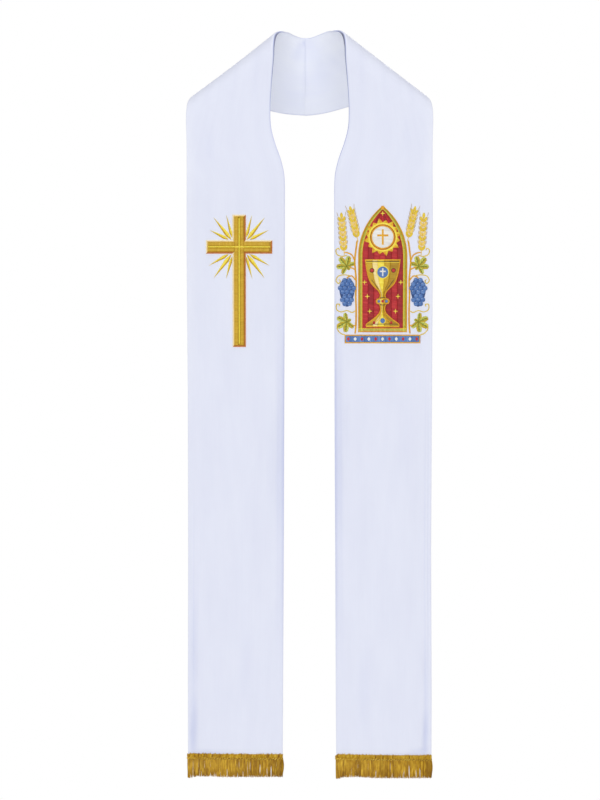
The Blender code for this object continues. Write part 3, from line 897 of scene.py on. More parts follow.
def addColumn(bm, left, right, height, base=0.0, edge=columnForm["edge"], material=0, crown=1.06):
    # a padded column of stitches between two curves, flat underneath, closed all round
    left = np.asarray(left, float)
    right = np.asarray(right, float)
    widths = np.linalg.norm(right - left, axis=1)
    safe = np.maximum(widths, 1e-6)
    rounding = np.minimum(edge, columnForm["edgeShare"] * widths) / safe
    shoulder = columnForm["shoulder"] * rounding
    flat = np.maximum(columnForm["crownStart"], rounding + columnForm["leastGap"])
    shares = joined(0 * safe, shoulder, rounding, flat, 1 - flat, 1 - rounding, 1 - shoulder, 0 * safe + 1)
    lifts = (0, columnForm["shoulderLift"], 1, crown, crown, 1, columnForm["shoulderLift"], 0)
    swell = np.minimum(1.0, np.sqrt(widths / (2 * edge)))
    run = runOf((left + right) / 2)
    seed = chance.random()
    start = chance.random() * 50
    around = shares.shape[1]
    part = newStitchWork()
    layer = part.verts.layers.float_vector["stitch"]
    bmesh.ops.create_grid(part, x_segments=around, y_segments=len(left) - 1, size=1.0)
    for vert in part.verts:
        column = round((vert.co.x + 1) / 2 * around) % around
        row = round((vert.co.y + 1) / 2 * (len(left) - 1))
        share = shares[row, column]
        x, y = left[row] + (right[row] - left[row]) * share
        vert.co = (x, y, base + height * swell[row] * lifts[column])
        vert[layer] = ((run[row] + start) * mm, share * widths[row] * mm, seed)
    closeAndJoin(part, bm, material)


def addLine(bm, points, width, height, base=0.0, material=0, taper=0.0, smooth=True, step=1.0):
    # a column along a curve, of even width or narrowing to points at its ends
    curve = throughPoints(points, step) if smooth else np.array(points, float)
    run = runOf(curve)
    half = np.full(len(curve), width / 2)
    if taper:
        half *= np.sqrt(np.clip(np.minimum(run, run[-1] - run) / taper, 0, 1))
    addColumn(bm, besideCurve(curve, -half), besideCurve(curve, half), height, base,
              min(columnForm["edge"], width / 2), material)


def addStraight(bm, start, end, width, height, base, material, step=3.0):
    addLine(bm, evenly(start, end, step), width, height, base, material, smooth=False)


def finishStitched(bm, name, threadNames, nodes, side=wearersLeft, lift=work["onCloth"]):
    # lays flat embroidery on a panel's cloth and finishes it
    flat = np.array([vert.co[:] for vert in bm.verts]) * (side, 1, 1) + (*work["middle"][side], lift)
    for vert, point in zip(bm.verts, panelPoints(side, flat)):
        vert.co = point
    return finishPiece(bm, name, [threads[thread] for thread in threadNames], nodes, work["sharp"])


# Cross and rays

cross = {
    "bar": 21.9, "height": 214.5, "width": 108.2, "head": 52.3,
    "outerBorder": 2.1, "innerBorder": 1.4, "borderHeight": 1.3, "fillHeight": 0.95,
    "lineWidth": 2.0, "uprightLine": 0.6, "armLine": 0.72, "uprightInset": 5.6, "armInset": 3.4,
    "columnEdge": 0.7, "seamWidth": 1.7, "shadeWidth": 2.6, "shadeHeight": 0.2,
}
rayTable = (
    # root across, root up, tip across, tip up, width; each is mirrored to the other side
    (11.5, 15.0, 21.0, 52.0, 5.0),
    (12.5, 11.5, 42.0, 48.0, 6.8),
    (17.0, 11.8, 48.5, 27.5, 5.6),
    (11.5, -15.5, 21.5, -52.0, 5.0),
    (12.5, -12.0, 42.0, -51.0, 6.8),
    (17.0, -11.8, 50.0, -30.5, 5.6),
)
rayLook = {
    "height": 0.85, "edgeHeight": 0.68, "edgeShare": 0.36, "widestAt": 0.24, "rows": 17,
    "swell": 0.8, "taper": 0.95,
}


def addCrossBorder(bm, corners, width, litMaterial, dimMaterial):
    # mitred columns round the outline: paler thread, a painted highlight, where they face left or up,
    # and darker thread, a painted shade, elsewhere; gives the corners inside them
    count = len(corners)
    runs = [np.subtract(corners[(i + 1) % count], corners[i]) for i in range(count)]
    inwards = [np.array((run[1], -run[0])) / np.linalg.norm(run) for run in runs]
    inside = [corners[i] + width * (inwards[i - 1] + inwards[i]) for i in range(count)]
    for i in range(count):
        after = (i + 1) % count
        lit = inwards[i][0] > 0.5 or inwards[i][1] < -0.5
        outer = evenly(corners[i], corners[after])
        inner = inside[i] + (inside[after] - inside[i]) * np.linspace(0, 1, len(outer))[:, None]
        addColumn(bm, outer, inner, cross["borderHeight"], 0.0, cross["columnEdge"],
                  litMaterial if lit else dimMaterial)
    return inside


def makeCross():
    half = cross["bar"] / 2
    reach = cross["width"] / 2
    head = cross["head"]
    foot = head - cross["height"]
    bm = newStitchWork()
    threadNames = ("old gold", "cream gold", "copper", "bright yellow", "deep gold", "olive gold",
                   "light gold", "brown gold")
    # corners of the outline, going round clockwise from the top left
    corners = ((-half, head), (half, head), (half, half), (reach, half), (reach, -half), (half, -half),
               (half, foot), (-half, foot), (-half, -half), (-reach, -half), (-reach, half), (-half, half))
    inside = addCrossBorder(bm, [np.array(corner) for corner in corners], cross["outerBorder"], 1, 2)
    addCrossBorder(bm, inside, cross["innerBorder"], 6, 7)
    # fill in stretches between the borders, in columns beside each centre line
    rim = cross["outerBorder"] + cross["innerBorder"] - 0.15
    inner = half - rim
    seam = cross["seamWidth"]

    def addFill(nearStart, nearEnd, farStart, farEnd, material):
        addColumn(bm, evenly(nearStart, nearEnd), evenly(farStart, farEnd), cross["fillHeight"], 0.0,
                  cross["columnEdge"], material)

    for near, far, lowMaterial, highMaterial in ((0.0, seam, 4, 5), (seam, inner, 0, 0)):
        for sign, material in ((-1, lowMaterial), (1, highMaterial)):
            low = sign * near
            high = sign * far
            for top, bottom in ((head - rim, inner), (inner, -inner), (-inner, foot + rim)):
                addFill((low, top), (low, bottom), (high, top), (high, bottom), material)
            for start, end in ((-reach + rim, -inner), (inner, reach - rim)):
                addFill((start, low), (end, low), (start, high), (end, high), material)
    # painted shade: darker stretches before the right arm's end and beside the head's right border
    onFill = cross["fillHeight"] * 0.9
    shade = cross["shadeWidth"]
    x = reach - rim - shade / 2
    addStraight(bm, (x, -inner + 0.6), (x, inner - 0.6), shade, cross["shadeHeight"], onFill, 4)
    x = half - rim - shade / 3
    addStraight(bm, (x, head - rim), (x, half), shade * 0.6, cross["shadeHeight"], onFill, 4)
    top = head - cross["uprightInset"]
    bottom = foot + cross["uprightInset"]
    addStraight(bm, (0, top), (0, bottom), cross["lineWidth"], cross["uprightLine"], onFill, 3)
    end = reach - cross["armInset"]
    addStraight(bm, (-end, 0), (end, 0), cross["lineWidth"], cross["armLine"], onFill, 3)
    return finishStitched(bm, "crossStitched", threadNames, ["cross"], wearersRight)


def makeRays():
    # each ray is a dart with a point at both ends: bright above, with painted shade as a darker thread along
    # its lower edge
    bm = newStitchWork()
    along = np.linspace(0, 1, rayLook["rows"])
    widest = rayLook["widestAt"]
    swelling = np.minimum(along / widest, 1) ** rayLook["swell"]
    swelling *= np.clip((1 - along) / (1 - widest), 0, 1) ** rayLook["taper"]
    for mirror in (-1, 1):
        for rootX, rootY, tipX, tipY, width in rayTable:
            root = np.array((rootX * mirror, rootY))
            run = np.array((tipX * mirror, tipY)) - root
            normal = np.array((-run[1], run[0])) / np.linalg.norm(run)
            middle = root + run * along[:, None]
            half = width / 2 * swelling[:, None]
            low = middle - normal * half
            high = middle + normal * half
            if normal[1] < 0:
                low, high = high, low
            split = low + (high - low) * rayLook["edgeShare"]
            addColumn(bm, low, split, rayLook["edgeHeight"], 0.0, 0.6, 1)
            addColumn(bm, split, high, rayLook["height"], 0.0, 0.9, 0)
    nodes = [f"ray.{number:02d}" for number in range(1, 2 * len(rayTable) + 1)]
    threadNames = ("bright yellow", "old gold")
    return finishStitched(bm, "raysStitched", threadNames, nodes, wearersRight)


stitched = {wearersRight: [makeCross(), makeRays()], wearersLeft: []}
print("cross and rays made")


# Embroidered panel: a chalice and host on a red arch among vine leaves, grapes and wheat.
# Places are across and up from the panel's middle, as the viewer sees it.

arch = {
    "halfWidth": 40.0, "foot": -95.0, "spring": 28.0, "top": 110.0, "columns": 7, "height": 0.85,
    "outline": 1.8, "band": 3.8, "inline": 1.3, "starSize": 4.2, "columnEdge": 0.7,
}
archStars = ((-21, -61), (21, -61), (-25, -37), (25, -37), (-29.5, -14), (29.5, -14), (0, 97.5))
chaliceProfile = (
    # height, half width
    (-87, 27), (-82, 27), (-73, 15), (-63, 5.5), (-52, 5), (-45, 11.5), (-38, 5), (-29, 7), (-15, 20),
    (2, 26), (23, 29),
)
# Stripes of thread up the chalice give it painted highlight and shade: brightest just left of the middle,
# darkest at its right side
chaliceLightAndShade = (
    # its left and right bound as shares of the half width, thread
    (-1, -0.62, 1), (-0.62, -0.3, 0), (-0.3, 0.1, 7), (0.1, 0.45, 1), (0.45, 1, 2),
)
chaliceBands = (
    # level, half length, width, thread: three below the lip, two over the foot
    (22.1, 28, 1.8, 3), (19.4, 27.2, 1.3, 8), (18, 27, 1.1, 7), (-86.1, 26, 1.9, 3), (-82, 25, 1.2, 8),
)
knopBands = (
    # level over the knop, bow, half length, thread
    (3.4, 1.0, 10.2, 3), (-3.4, -1.0, 10.2, 3), (5.2, 0.8, 7.5, 8), (-5.2, -0.8, 7.5, 8),
)
chalice = {
    "outline": 1.8, "height": 1.25, "cup": 2.0, "knop": -45.0, "foot": -87.0, "roundel": 9.5, "jewel": 2.3,
    "onCup": 1.12,
}
host = {
    "height": 59.0, "radius": 19.5, "rim": 2.2, "disc": 0.9, "upright": 12.5, "arm": 9.0, "crossWidth": 3.4,
}
halo = {"inner": 20.5, "band": 24.0, "outer": 31.0, "shortBy": 2.8, "points": 16}
leaves = (
    # node, across, up, radius, turn
    ("leaf.upper.1", -58.5, 12, 17.6, 40),
    ("leaf.upper.2", 58.5, 12, 17.6, -40),
    ("leaf.lower.1", -58.5, -78, 18.0, 120),
    ("leaf.lower.2", 58.5, -78, 18.0, -120),
)
leafLobes = (
    # direction of the lobe's tip from the leaf's own, and its length as a share
    (0, 1.0), (54, 0.93), (112, 0.80), (180, 0.42), (248, 0.80), (306, 0.93),
)
leafForm = {
    # rows of each lobe, how deep the notches reach, its roundness, its teeth, and where its side veins lie
    "rows": 13, "notch": 0.62, "shoulder": 0.16, "teeth": 0.07, "teethFrom": 0.35, "veins": (0.45, 0.7),
}
bunches = (
    # node, across, up, half width, half height
    ("grapes.1", -58, -31, 13.5, 24),
    ("grapes.2", 58, -31, 13.5, 24),
)
berry = {
    "radius": 4.0, "rowStep": 6.3, "height": 1.6, "packing": 0.94, "edge": 2.1, "unevenness": (0.3, 0.25),
}
ears = (
    # node, across, up, half length, half width, turn
    ("wheat.1", -65, 66, 34, 6.5, 4),
    ("wheat.2", 65, 66, 34, 6.5, -4),
    ("wheat.3", -47, 82, 29, 6, 13),
    ("wheat.4", 47, 82, 29, 6, -13),
)
grain = {"pairs": 7, "length": 10.5, "lean": 24, "fromStalk": 1.1, "width": 0.72, "topWidth": 0.76, "rows": 9}
ribbon = {"halfWidth": 62.0, "top": -99.0, "bottom": -113.0, "edge": 2.2, "diamonds": 11}
vines = (
    # width, then the points of one vine on the right; the left one mirrors it
    (2.8, (45, -98), (43.6, -84), (43.2, -60), (43.8, -36), (43.2, -12), (44.5, 6), (45.5, 20), (43.6, 38),
     (41.5, 54)),
    (2.2, (44.5, 6), (50, 9), (57, 11)),
    (2.2, (43.6, -84), (50, -84), (57, -79)),
    (2.2, (43.2, -12), (50, -4), (57, -6), (58, -9)),
    (2.2, (45.5, 20), (50, 30), (58, 34), (62.5, 34)),
    (1.6, (60, -100), (68, -97), (74, -90), (73, -82), (68.5, -83), (70, -88)),
    (1.6, (50, -4), (62, -2), (72, -4), (76, -11), (72, -16), (69, -12), (72, -9)),
    (1.6, (57, 30), (66, 28), (74, 31), (76, 38), (72, 41), (70, 37)),
    (1.6, (44, -60), (50, -63), (58, -60), (68, -62), (75, -58), (75, -50), (70, -50), (71, -54)),
)


def ringPoints(across, up, radius, start=0.0, turn=2 * math.pi, count=48):
    angle = start + np.linspace(0, turn, count + 1)
    return joined(across + radius * np.cos(angle), up + radius * np.sin(angle))


def addDisc(bm, across, up, radius, height, base=0.0, material=0, edge=columnForm["edge"]):
    halves = [ringPoints(across, up, radius, -math.pi / 2, turn, 12) for turn in (-math.pi, math.pi)]
    addColumn(bm, *halves, height, base, edge, material)


def addRing(bm, across, up, inner, outer, height, base=0.0, material=0):
    addColumn(bm, ringPoints(across, up, inner), ringPoints(across, up, outer), height, base, 0.9, material)


def addCrossMark(bm, across, up, upright, arm, width, base, material):
    addStraight(bm, (across, up - upright), (across, up + upright), width, 0.4, base, material, 2)
    level = up + upright * 0.22
    addStraight(bm, (across - arm, level), (across + arm, level), width, 0.5, base, material, 2)


def addStar(bm, across, up, size, base, material):
    for turn in (0, 90):
        line = turned(((-size, 0), (0, 0), (size, 0)), turn, across, up)
        addLine(bm, line, size * 0.42, 0.3 + 0.1 * turn / 90, base, material, taper=size)


def archReach(height):
    # half width of the arch: straight sides, then two arcs that meet at the top
    rise = arch["top"] - arch["spring"]
    radius = (rise ** 2 + arch["halfWidth"] ** 2) / (2 * arch["halfWidth"])
    above = np.maximum(height - arch["spring"], 0)
    return np.sqrt(radius ** 2 - above ** 2) - (radius - arch["halfWidth"])


def makeArch():
    bm = newStitchWork()
    threadNames = ("red", "deep red", "lime", "flame gold", "olive gold", "bright yellow")
    deepColumns = (1, 4, 6)
    height = np.linspace(arch["foot"], arch["top"], 90)
    reach = archReach(height)
    fieldReach = np.maximum(reach - arch["outline"] - arch["band"] - arch["inline"] + 0.3, 0)
    inField = fieldReach > 1.0
    count = arch["columns"]
    for column in range(count):
        low, high = ((2 * bound / count - 1) * fieldReach[inField] for bound in (column, column + 1))
        addColumn(bm, joined(low, height[inField]), joined(high, height[inField]), arch["height"], 0.0, 0.5,
                  1 if column in deepColumns else 0, 1.0)
    for sign in (-1, 1):
        far = 0.0
        for width, material, lift in ((arch["outline"], 3, 1.25), (arch["band"] / 2, 4, 0.95),
                                      (arch["band"] / 2, 2, 1.0), (arch["inline"], 5, 1.15)):
            outer, inner = (joined(sign * np.maximum(reach - end, 0), height) for end in (far, far + width))
            shown = reach - far > 0.4
            addColumn(bm, outer[shown], inner[shown], lift, 0.0, arch["columnEdge"], material)
            far += width
    end = arch["halfWidth"] - 0.6
    for overFoot, width, material, lift in ((1, 2.0, 3, 1.37), (3.6, 3.4, 2, 1.12), (5.9, 1.3, 5, 1.27)):
        level = arch["foot"] + overFoot
        addStraight(bm, (-end, level), (end, level), width, lift, 0.0, material)
    addDisc(bm, 0, arch["top"] - 3.4, 3.4, 1.5, 0.0, 3)
    for across, up in archStars:
        addStar(bm, across, up, arch["starSize"], arch["height"] * 0.9, 5)
    return finishStitched(bm, "archStitched", threadNames, ["arch"])


def makeChalice():
    bm = newStitchWork()
    threadNames = ("pale gold", "old gold", "deep gold", "flame gold", "blue", "red", "white",
                   "bright yellow", "dark brown")
    profile = throughPoints([(width, level) for level, width in chaliceProfile], 1.5)
    reach, level = profile[np.argsort(profile[:, 1])].T
    half = reach - chalice["outline"] * 0.5
    for low, high, material in chaliceLightAndShade:
        addColumn(bm, joined(half * low, level), joined(half * high, level), chalice["height"], 0.0, 1.0,
                  material, 1.08)
    for sign in (-1, 1):
        addLine(bm, joined(sign * half, level), chalice["outline"], 0.5, 1.0, 3, smooth=False)
    onCup = chalice["onCup"]
    cup, knop, foot = (chalice[name] for name in ("cup", "knop", "foot"))
    for middle, end, width, material in chaliceBands:
        addStraight(bm, (-end, middle), (end, middle), width, 0.45, onCup, material, 2.5)
    # roundel and jewels on the cup, bands on the knop, ribs and jewels on the foot
    addDisc(bm, 0, cup, chalice["roundel"], 0.5, onCup, 4)
    addRing(bm, 0, cup, chalice["roundel"] - 0.8, chalice["roundel"] + 1.2, 0.55, onCup, 7)
    addCrossMark(bm, 0, cup, 6.5, 4.8, 2.3, onCup + 0.5, 6)
    for sign in (-1, 1):
        addDisc(bm, sign * 17.5, cup + 3, 2.9, 0.6, onCup, 5)
        addRing(bm, sign * 17.5, cup + 3, 2.7, 3.9, 0.5, onCup, 8)
        addLine(bm, ((sign * 6, -27), (sign * 13, -17), (sign * 19, -9)), 1.2, 0.35, onCup, 8, taper=3.0)
        addLine(bm, ((sign * 3, -63), (sign * 6, -73), (sign * 15, -81)), 1.3, 0.4, onCup, 3)
        addDisc(bm, sign * 14, foot + 7.5, chalice["jewel"], 0.6, onCup, 5)
    for across in (-6.2, 0, 6.2):
        addDisc(bm, across, knop, chalice["jewel"], 0.7, onCup, 5 if across == 0 else 4)
    for offset, bow, end, material in knopBands:
        line = ((-end, knop + offset), (0, knop + offset + bow), (end, knop + offset))
        addLine(bm, line, 1.1, 0.4, onCup, material)
    addDisc(bm, 0, foot + 10.5, 4.2, 0.6, onCup, 4)
    addRing(bm, 0, foot + 10.5, 3.8, 5.3, 0.5, onCup, 7)
    return finishStitched(bm, "chaliceStitched", threadNames, ["chalice"], lift=work["onArch"])


def makeHost():
    bm = newStitchWork()
    up = host["height"]
    addDisc(bm, 0, up, host["radius"] - host["rim"] + 0.4, host["disc"])
    addRing(bm, 0, up, host["radius"] - host["rim"], host["radius"], 1.3, 0.0, 1)
    addCrossMark(bm, 0, up, host["upright"], host["arm"], host["crossWidth"], host["disc"] * 0.9, 1)
    return finishStitched(bm, "hostStitched", ("white", "flame gold"), ["host"],
                          lift=work["onArch"])


def makeHalo():
    bm = newStitchWork()
    up = host["height"]
    addRing(bm, 0, up, halo["inner"], halo["band"], 0.9, 0.0, 1)
    along = np.linspace(0, 1, 9)
    half = math.pi * halo["band"] / halo["points"] * (1 - along) ** 0.9
    root = halo["band"] - 0.4
    for point in range(halo["points"]):
        angle = 360 / halo["points"] * (point + 0.5)
        tip = halo["outer"] - halo["shortBy"] * (point % 2)
        radius = root + along * (tip - root)
        low, middle, high = (turned(joined(radius, half * share), angle, 0, up) for share in (1, 0, -1))
        addColumn(bm, low, middle, 0.85, 0.0, 0.7, 0)
        addColumn(bm, middle, high, 0.85, 0.0, 0.7, 2)
    threadNames = ("yellow", "bright yellow", "flame gold")
    return finishStitched(bm, "haloStitched", threadNames, ["halo"], lift=work["onArch"])


def lobePoint(angle, reach):
    # angles are counted from the leaf's own tip, in degrees
    return np.array((-math.sin(math.radians(angle)), math.cos(math.radians(angle)))) * reach


def makeLeaf(node, across, up, radius, turn):
    # a vine leaf: lobes of two halves of stitches beside a vein, with teeth along their edges
    bm = newStitchWork()
    count = len(leafLobes)
    rows = leafForm["rows"]
    share = np.linspace(0, 1, rows)[:, None]

    def placed(points):
        return turned(points, turn, across, up)

    for lobe, (tipAngle, reach) in enumerate(leafLobes):
        tip = lobePoint(tipAngle, reach * radius)
        vein = tip * share
        for sign, material in ((-1, 1), (1, 0)):
            nextAngle, nextReach = leafLobes[(lobe + sign) % count]
            apart = (nextAngle - tipAngle + 180) % 360 - 180
            notch = lobePoint(tipAngle + apart / 2, min(reach, nextReach) * radius * leafForm["notch"])
            # from the middle to the notch, then out round a shoulder to the tip
            swell = radius * leafForm["shoulder"] * reach
            shoulder = (notch + tip) / 2 + lobePoint(tipAngle + apart / 2, swell)
            edge = throughPoints(((0, 0), notch * 0.6, notch, shoulder, tip), radius / 6)
            run = np.linspace(0, len(edge) - 1, rows)
            edge = joined(*(np.interp(run, range(len(edge)), values) for values in edge.T))
            edge *= 1 + leafForm["teeth"] * (np.arange(rows)[:, None] % 2) * (share > leafForm["teethFrom"])
            addColumn(bm, placed(vein), placed(edge), 0.8, 0.0, 0.8, material)
            for stop in leafForm["veins"]:
                branch = (tip * stop * 0.8, (tip * stop + edge[int(rows * (stop + 0.12))]) / 2)
                addLine(bm, placed(branch), 0.7, 0.3, 0.8, 2, smooth=False)
        addLine(bm, placed(vein[::4]), 1.3, 0.4, 0.75, 2, taper=6.0)
    threadNames = ("lime", "olive gold", "leaf green")
    return finishStitched(bm, node + ".stitched", threadNames, [node])


def makeGrapes(node, across, up, halfWidth, halfHeight):
    bm = newStitchWork()
    radius = berry["radius"]
    pitch = 2 * radius * berry["packing"]
    aside, above = berry["unevenness"]

    def reachAt(height):
        rise = height / halfHeight
        return halfWidth * (1 + 0.3 * rise) * np.sqrt(np.maximum(0.03, 1 - rise * rise))

    level = np.linspace(-halfHeight + 1.5, halfHeight - 1.5, 16)
    reach = reachAt(level) - 1.5
    addColumn(bm, joined(across - reach, up + level), joined(across + reach, up + level), 0.7, 0.0, 1.0, 1)
    height = halfHeight - radius
    row = 0
    while height >= -halfHeight + radius - 1:
        count = max(1, round(2 * reachAt(height) / pitch))
        count -= (count + row) % 2 if count > 2 else 0
        for number in range(count):
            x = across + (number - (count - 1) / 2) * pitch + chance.uniform(-aside, aside)
            y = up + height + chance.uniform(-above, above)
            base = 0.3 * ((row + number) % 2)
            top = base + berry["height"] * 0.86
            addDisc(bm, x, y, radius, berry["height"], base, 0, berry["edge"])
            # a deep blue crescent on each berry's lower right is painted shadow, and a white one on its upper
            # left a painted highlight
            dimSide = ((x + 3.1, y + 0.4), (x + 2.2, y - 2.2), (x - 0.6, y - 3.1))
            litSide = ((x - 2.0, y + 0.7), (x - 1.1, y + 1.9), (x + 0.3, y + 2.2))
            addLine(bm, dimSide, 1.2, 0.3, top - 0.45, 1, taper=1.5)
            addLine(bm, litSide, 1.1, 0.3, top, 2, taper=1.0)
        height -= berry["rowStep"]
        row += 1
    return finishStitched(bm, node + ".stitched", ("blue", "deep blue", "white"), [node])


def makeWheat(node, across, up, halfLength, halfWidth, turn):
    bm = newStitchWork()
    pitch = (2 * halfLength - 14) / grain["pairs"]
    grainLength = grain["length"]
    along = np.linspace(0, 1, grain["rows"])

    def addGrain(x, y, lean, width, material):
        half = width / 2 * np.sin(math.pi * along) ** 0.7
        sides = [turned(turned(joined(edge, along * grainLength), lean, x, y), turn, across, up)
                 for edge in (-half, half)]
        addColumn(bm, *sides, 1.0, 0.0, 0.9, material)

    stalk = turned([(0, -halfLength - 2), (0, 0), (0, halfLength - 8)], turn, across, up)
    addLine(bm, stalk, 1.4, 0.6, 0.0, 1)
    for number in range(grain["pairs"]):
        y = -halfLength + 5 + number * pitch
        for sign in (-1, 1):
            x = sign * grain["fromStalk"]
            addGrain(x, y, -sign * grain["lean"], halfWidth * grain["width"], number % 2)
            x += sign * 0.42 * grainLength
            tip = y + 0.9 * grainLength
            beard = turned([(x, tip), (x + sign * 1.2, tip + 4), (x + sign * 1.8, tip + 8)], turn, across, up)
            addLine(bm, beard, 0.7, 0.4, 0.0, 2, taper=3.0)
    addGrain(0, halfLength - 11, 0, halfWidth * grain["topWidth"], 0)
    threadNames = ("yellow", "light gold", "deep gold")
    return finishStitched(bm, node + ".stitched", threadNames, [node])


def makeRibbon():
    bm = newStitchWork()
    half = ribbon["halfWidth"]
    edge = ribbon["edge"]
    top = ribbon["top"] - edge / 2
    bottom = ribbon["bottom"] + edge / 2
    low, high = (evenly((-half, level), (half, level), 2) for level in (bottom, top))
    addColumn(bm, low, high, 0.8, 0.0, 1.0, 0)
    for level in (top, bottom):
        addStraight(bm, (-half, level), (half, level), edge, 1.2, 0.0, 1, 2)
    for end in (edge / 2 - half, half - edge / 2):
        addStraight(bm, (end, bottom), (end, top), edge, 1.25, 0.0, 1, 2)
    middle = (top + bottom) / 2
    for number, place in enumerate(np.linspace(6 - half, half - 6, ribbon["diamonds"])):
        low, high = (((place - 3, middle), (place, tip), (place + 3, middle))
                     for tip in (middle - 3.4, middle + 3.4))
        addColumn(bm, low, high, 0.4, 0.75, 0.8, 2 + number % 2)
    threadNames = ("blue", "flame gold", "red", "white")
    return finishStitched(bm, "ribbonStitched", threadNames, ["ribbon"])


def makeVines():
    bm = newStitchWork()
    for width, *points in vines:
        for sign in (-1, 1):
            addLine(bm, [(sign * x, y) for x, y in points], width, 0.9, 0.1, 0 if width > 2 else 1, taper=3.0)
    return finishStitched(bm, "vines", ("flame gold", "yellow"), ())


stitched[wearersLeft] += [makeArch(), makeChalice(), makeHost(), makeHalo(), makeRibbon(), makeVines()]
stitched[wearersLeft] += [makeLeaf(*leaf) for leaf in leaves]
stitched[wearersLeft] += [makeGrapes(*bunch) for bunch in bunches]
stitched[wearersLeft] += [makeWheat(*ear) for ear in ears]
print("embroidered panel made")


# Fringe: a gimp braid of upright loops over a wavy chain, and yarns that part in places.
# Places along it are counted from the end on the viewer's left.

fringe = {
    "top": -1180.0, "bottom": -1190.5, "leftOver": 1.8, "rightOver": 0.6, "leftDrop": 1.3,
    "loops": 70, "loopTop": -1179.9, "loopBottom": -1187.6,
    "chainLevel": -1188.6, "chainWave": 0.7, "chainPitch": 4.3, "chainWidth": 1.3,
    "yarns": 430, "yarnRadius": 0.56, "yarnTop": -1187.8, "sides": 5, "rings": 9, "tufts": 96,
    # most that a tuft and each of its yarns lean, bend and differ, in millimetres
    "lean": 0.3, "bend": 0.35, "depth": 0.9, "bow": 0.4, "tipUnevenness": 0.8,
    # the last tenth bulges outwards
    "endFrom": 0.9, "endBulge": 14.0,
    "partingReach": 2.2, "sharp": 60,
}
# how far the fringe hangs lower at each end, the viewer's left first
fringeSag = {wearersRight: (0.6, 1.5), wearersLeft: (1.6, 3.6)}
tipLine = (
    # share of the width, level of the yarns' tips
    (0.0, -1221.2), (0.04, -1220.2), (0.09, -1218.0), (0.25, -1217.2), (0.4, -1218.4), (0.8, -1218.0),
    (1.0, -1218.0),
)
partings = (
    # share of the width, how wide it opens, where it starts as a share of the length
    (0.345, 1.0, 0.5), (0.417, 1.3, 0.5), (0.585, 1.1, 0.6), (0.67, 0.7, 0.5), (0.71, 0.8, 0.5),
    (0.762, 1.6, 0.2), (0.835, 1.5, 0.3), (0.878, 1.7, 0.3),
)


def addYarn(bm, points, radii, sides, seed, material):
    # a round yarn along points given as distance, level and lift
    points = np.array(points, float)
    rings = len(points)
    run = runOf(points)
    tangent = np.gradient(points, axis=0)
    tangent /= np.linalg.norm(tangent, axis=1, keepdims=True)
    sideways = np.cross(tangent, (0.0, 0.0, 1.0))
    sideways /= np.linalg.norm(sideways, axis=1, keepdims=True)
    lifted = np.cross(sideways, tangent)
    part = newStitchWork()
    layer = part.verts.layers.float_vector["stitch"]
    bmesh.ops.create_grid(part, x_segments=sides, y_segments=rings - 1, size=1.0)
    for vert in part.verts:
        column = round((vert.co.x + 1) / 2 * sides)
        row = round((vert.co.y + 1) / 2 * (rings - 1))
        angle = 2 * math.pi * (column % sides) / sides
        out = sideways[row] * math.cos(angle) + lifted[row] * math.sin(angle)
        vert.co = points[row] + out * radii[row]
        vert[layer] = (run[row] * mm, column / sides, seed)
    closeAndJoin(part, bm, material)


def addBraid(bm, width):
    def dropAt(place):
        return fringe["leftDrop"] * np.clip(1 - place / 7.0, 0, 1) ** 2

    place = np.linspace(0.6, width - 0.2, 60)
    top = joined(place, fringe["top"] - 1.2 - 2 * dropAt(place))
    bottom = joined(place, fringe["bottom"] + 0.3 + dropAt(place))
    addColumn(bm, bottom, top, 0.7, 0.3, 0.6, 0)
    pitch = width / fringe["loops"]
    for number in range(fringe["loops"]):
        x = (number + 0.5) * pitch + chance.uniform(-0.4, 0.4)
        lean = chance.uniform(0.2, 1.3)
        top = fringe["loopTop"] + chance.uniform(-1.3, 0.7) - 1.6 * dropAt(x)
        bottom = fringe["loopBottom"] + 0.8 * dropAt(x) + chance.uniform(-0.4, 0.6)
        loop = ((x + lean, top), (x + lean / 3, top - 2.6), (x - lean, bottom))
        addLine(bm, loop, pitch * chance.uniform(0.7, 1.05), chance.uniform(0.7, 1.4), 0.7,
                chance.choice((0, 0, 1, 2)), taper=1.4, step=1.3)
    for phase, lift, material in ((0.0, 1.75, 2), (math.pi, 1.45, 1)):
        x = np.arange(0, width + 0.01, fringe["chainPitch"] / 8)
        turn = 2 * math.pi * x / fringe["chainPitch"] + phase
        turn += 1.2 * np.sin(x * 0.31) + 0.6 * np.sin(x * 0.83)
        wave = fringe["chainWave"] * (1 + 0.4 * np.sin(x * 0.47 + phase))
        points = joined(x, fringe["chainLevel"] + wave * np.sin(turn), lift + 0.3 * np.cos(turn))
        addYarn(bm, points, np.full(len(points), fringe["chainWidth"] / 2), 6, chance.random(), material)


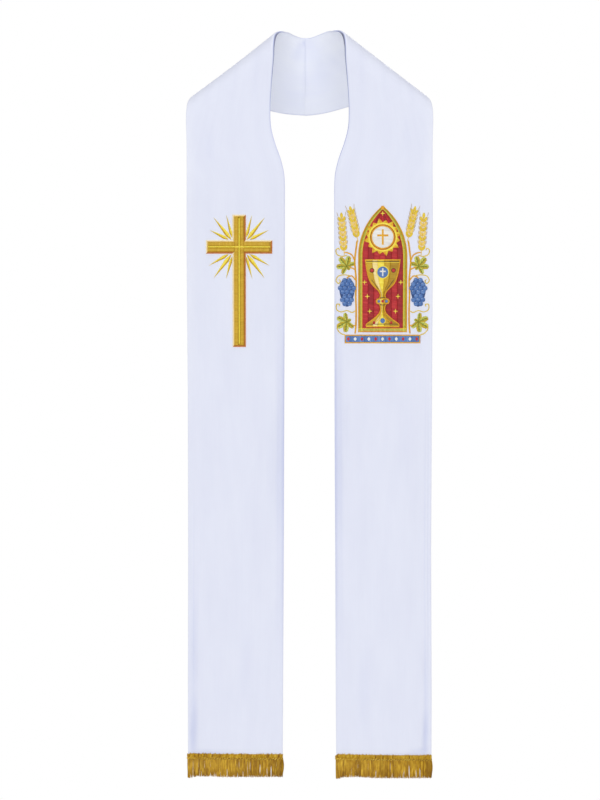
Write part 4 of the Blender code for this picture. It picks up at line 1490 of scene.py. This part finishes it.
def addFringeYarns(bm, width):
    # the yarns hang in small tufts that share a lean, a depth and a tone
    share = np.linspace(0, 1, fringe["rings"])
    lean, bend, depth, uneven = (fringe[name] for name in ("lean", "bend", "depth", "tipUnevenness"))
    tufts = [(chance.uniform(-lean, lean), chance.uniform(0, depth), chance.random(), chance.random())
             for _ in range(fringe["tufts"] + 1)]
    for number in range(fringe["yarns"]):
        place = (number + chance.random()) / fringe["yarns"]
        tuftLean, tuftDepth, seed, dim = tufts[int(place * fringe["tufts"] + 0.6 * math.sin(number))]
        root = 1.2 + place * (width - 1.6)
        tip = np.interp(place, *zip(*tipLine)) + chance.uniform(-uneven, uneven)
        x = root + (tuftLean + chance.uniform(-lean, lean)) * share
        x += chance.uniform(-bend, bend) * np.sin(math.pi * share * 1.4)
        for middle, opening, start in partings:
            apart = (place - middle) * width
            opened = np.sin(0.8 * math.pi * np.clip((share - start) / (1 - start), 0, 1))
            x += math.copysign(opening / 2, apart) * math.exp(-abs(apart) / fringe["partingReach"]) * opened
        bulge = fringe["endBulge"] * max(0.0, place - fringe["endFrom"])
        x += bulge * np.sin(math.pi * np.clip(share * 1.2, 0, 1))
        level = fringe["yarnTop"] + (tip - fringe["yarnTop"]) * share
        points = joined(x, level, 0.6 + tuftDepth + fringe["bow"] * np.sin(math.pi * share))
        radii = fringe["yarnRadius"] * np.linspace(1.0, 0.95, fringe["rings"]) * chance.uniform(0.85, 1.1)
        radii[-1] *= 0.4
        # the darker cord is painted shade, near the end on the viewer's right and on some tufts at random
        shaded = dim < 0.2 or place > 0.93 or (place > 0.86 and dim < 0.6)
        addYarn(bm, points, radii, fringe["sides"], seed + chance.uniform(0, 0.02), 3 if shaded else 1)


def makeFringe(side):
    bm = newStitchWork()
    width = panelOuter - panelInner + fringe["leftOver"] + fringe["rightOver"]
    addBraid(bm, width)
    addFringeYarns(bm, width)
    flat = np.array([vert.co[:] for vert in bm.verts])
    flat[:, 1] -= np.interp(flat[:, 0], (0, width), fringeSag[side])
    if side == wearersRight:
        flat[:, 0] = panelOuter + fringe["leftOver"] - flat[:, 0]
    else:
        flat[:, 0] += panelInner - fringe["leftOver"]
    flat[:, 2] += 0.1
    for vert, point in zip(bm.verts, panelPoints(side, flat)):
        vert.co = point
    sideName = sideNames[side]
    return finishPiece(bm, "fringeBraided." + sideName, fringeThreads,
                       ["fringe." + sideName], fringe["sharp"])


for side in sideNames:
    stitched[side].append(makeFringe(side))
print("fringe made")
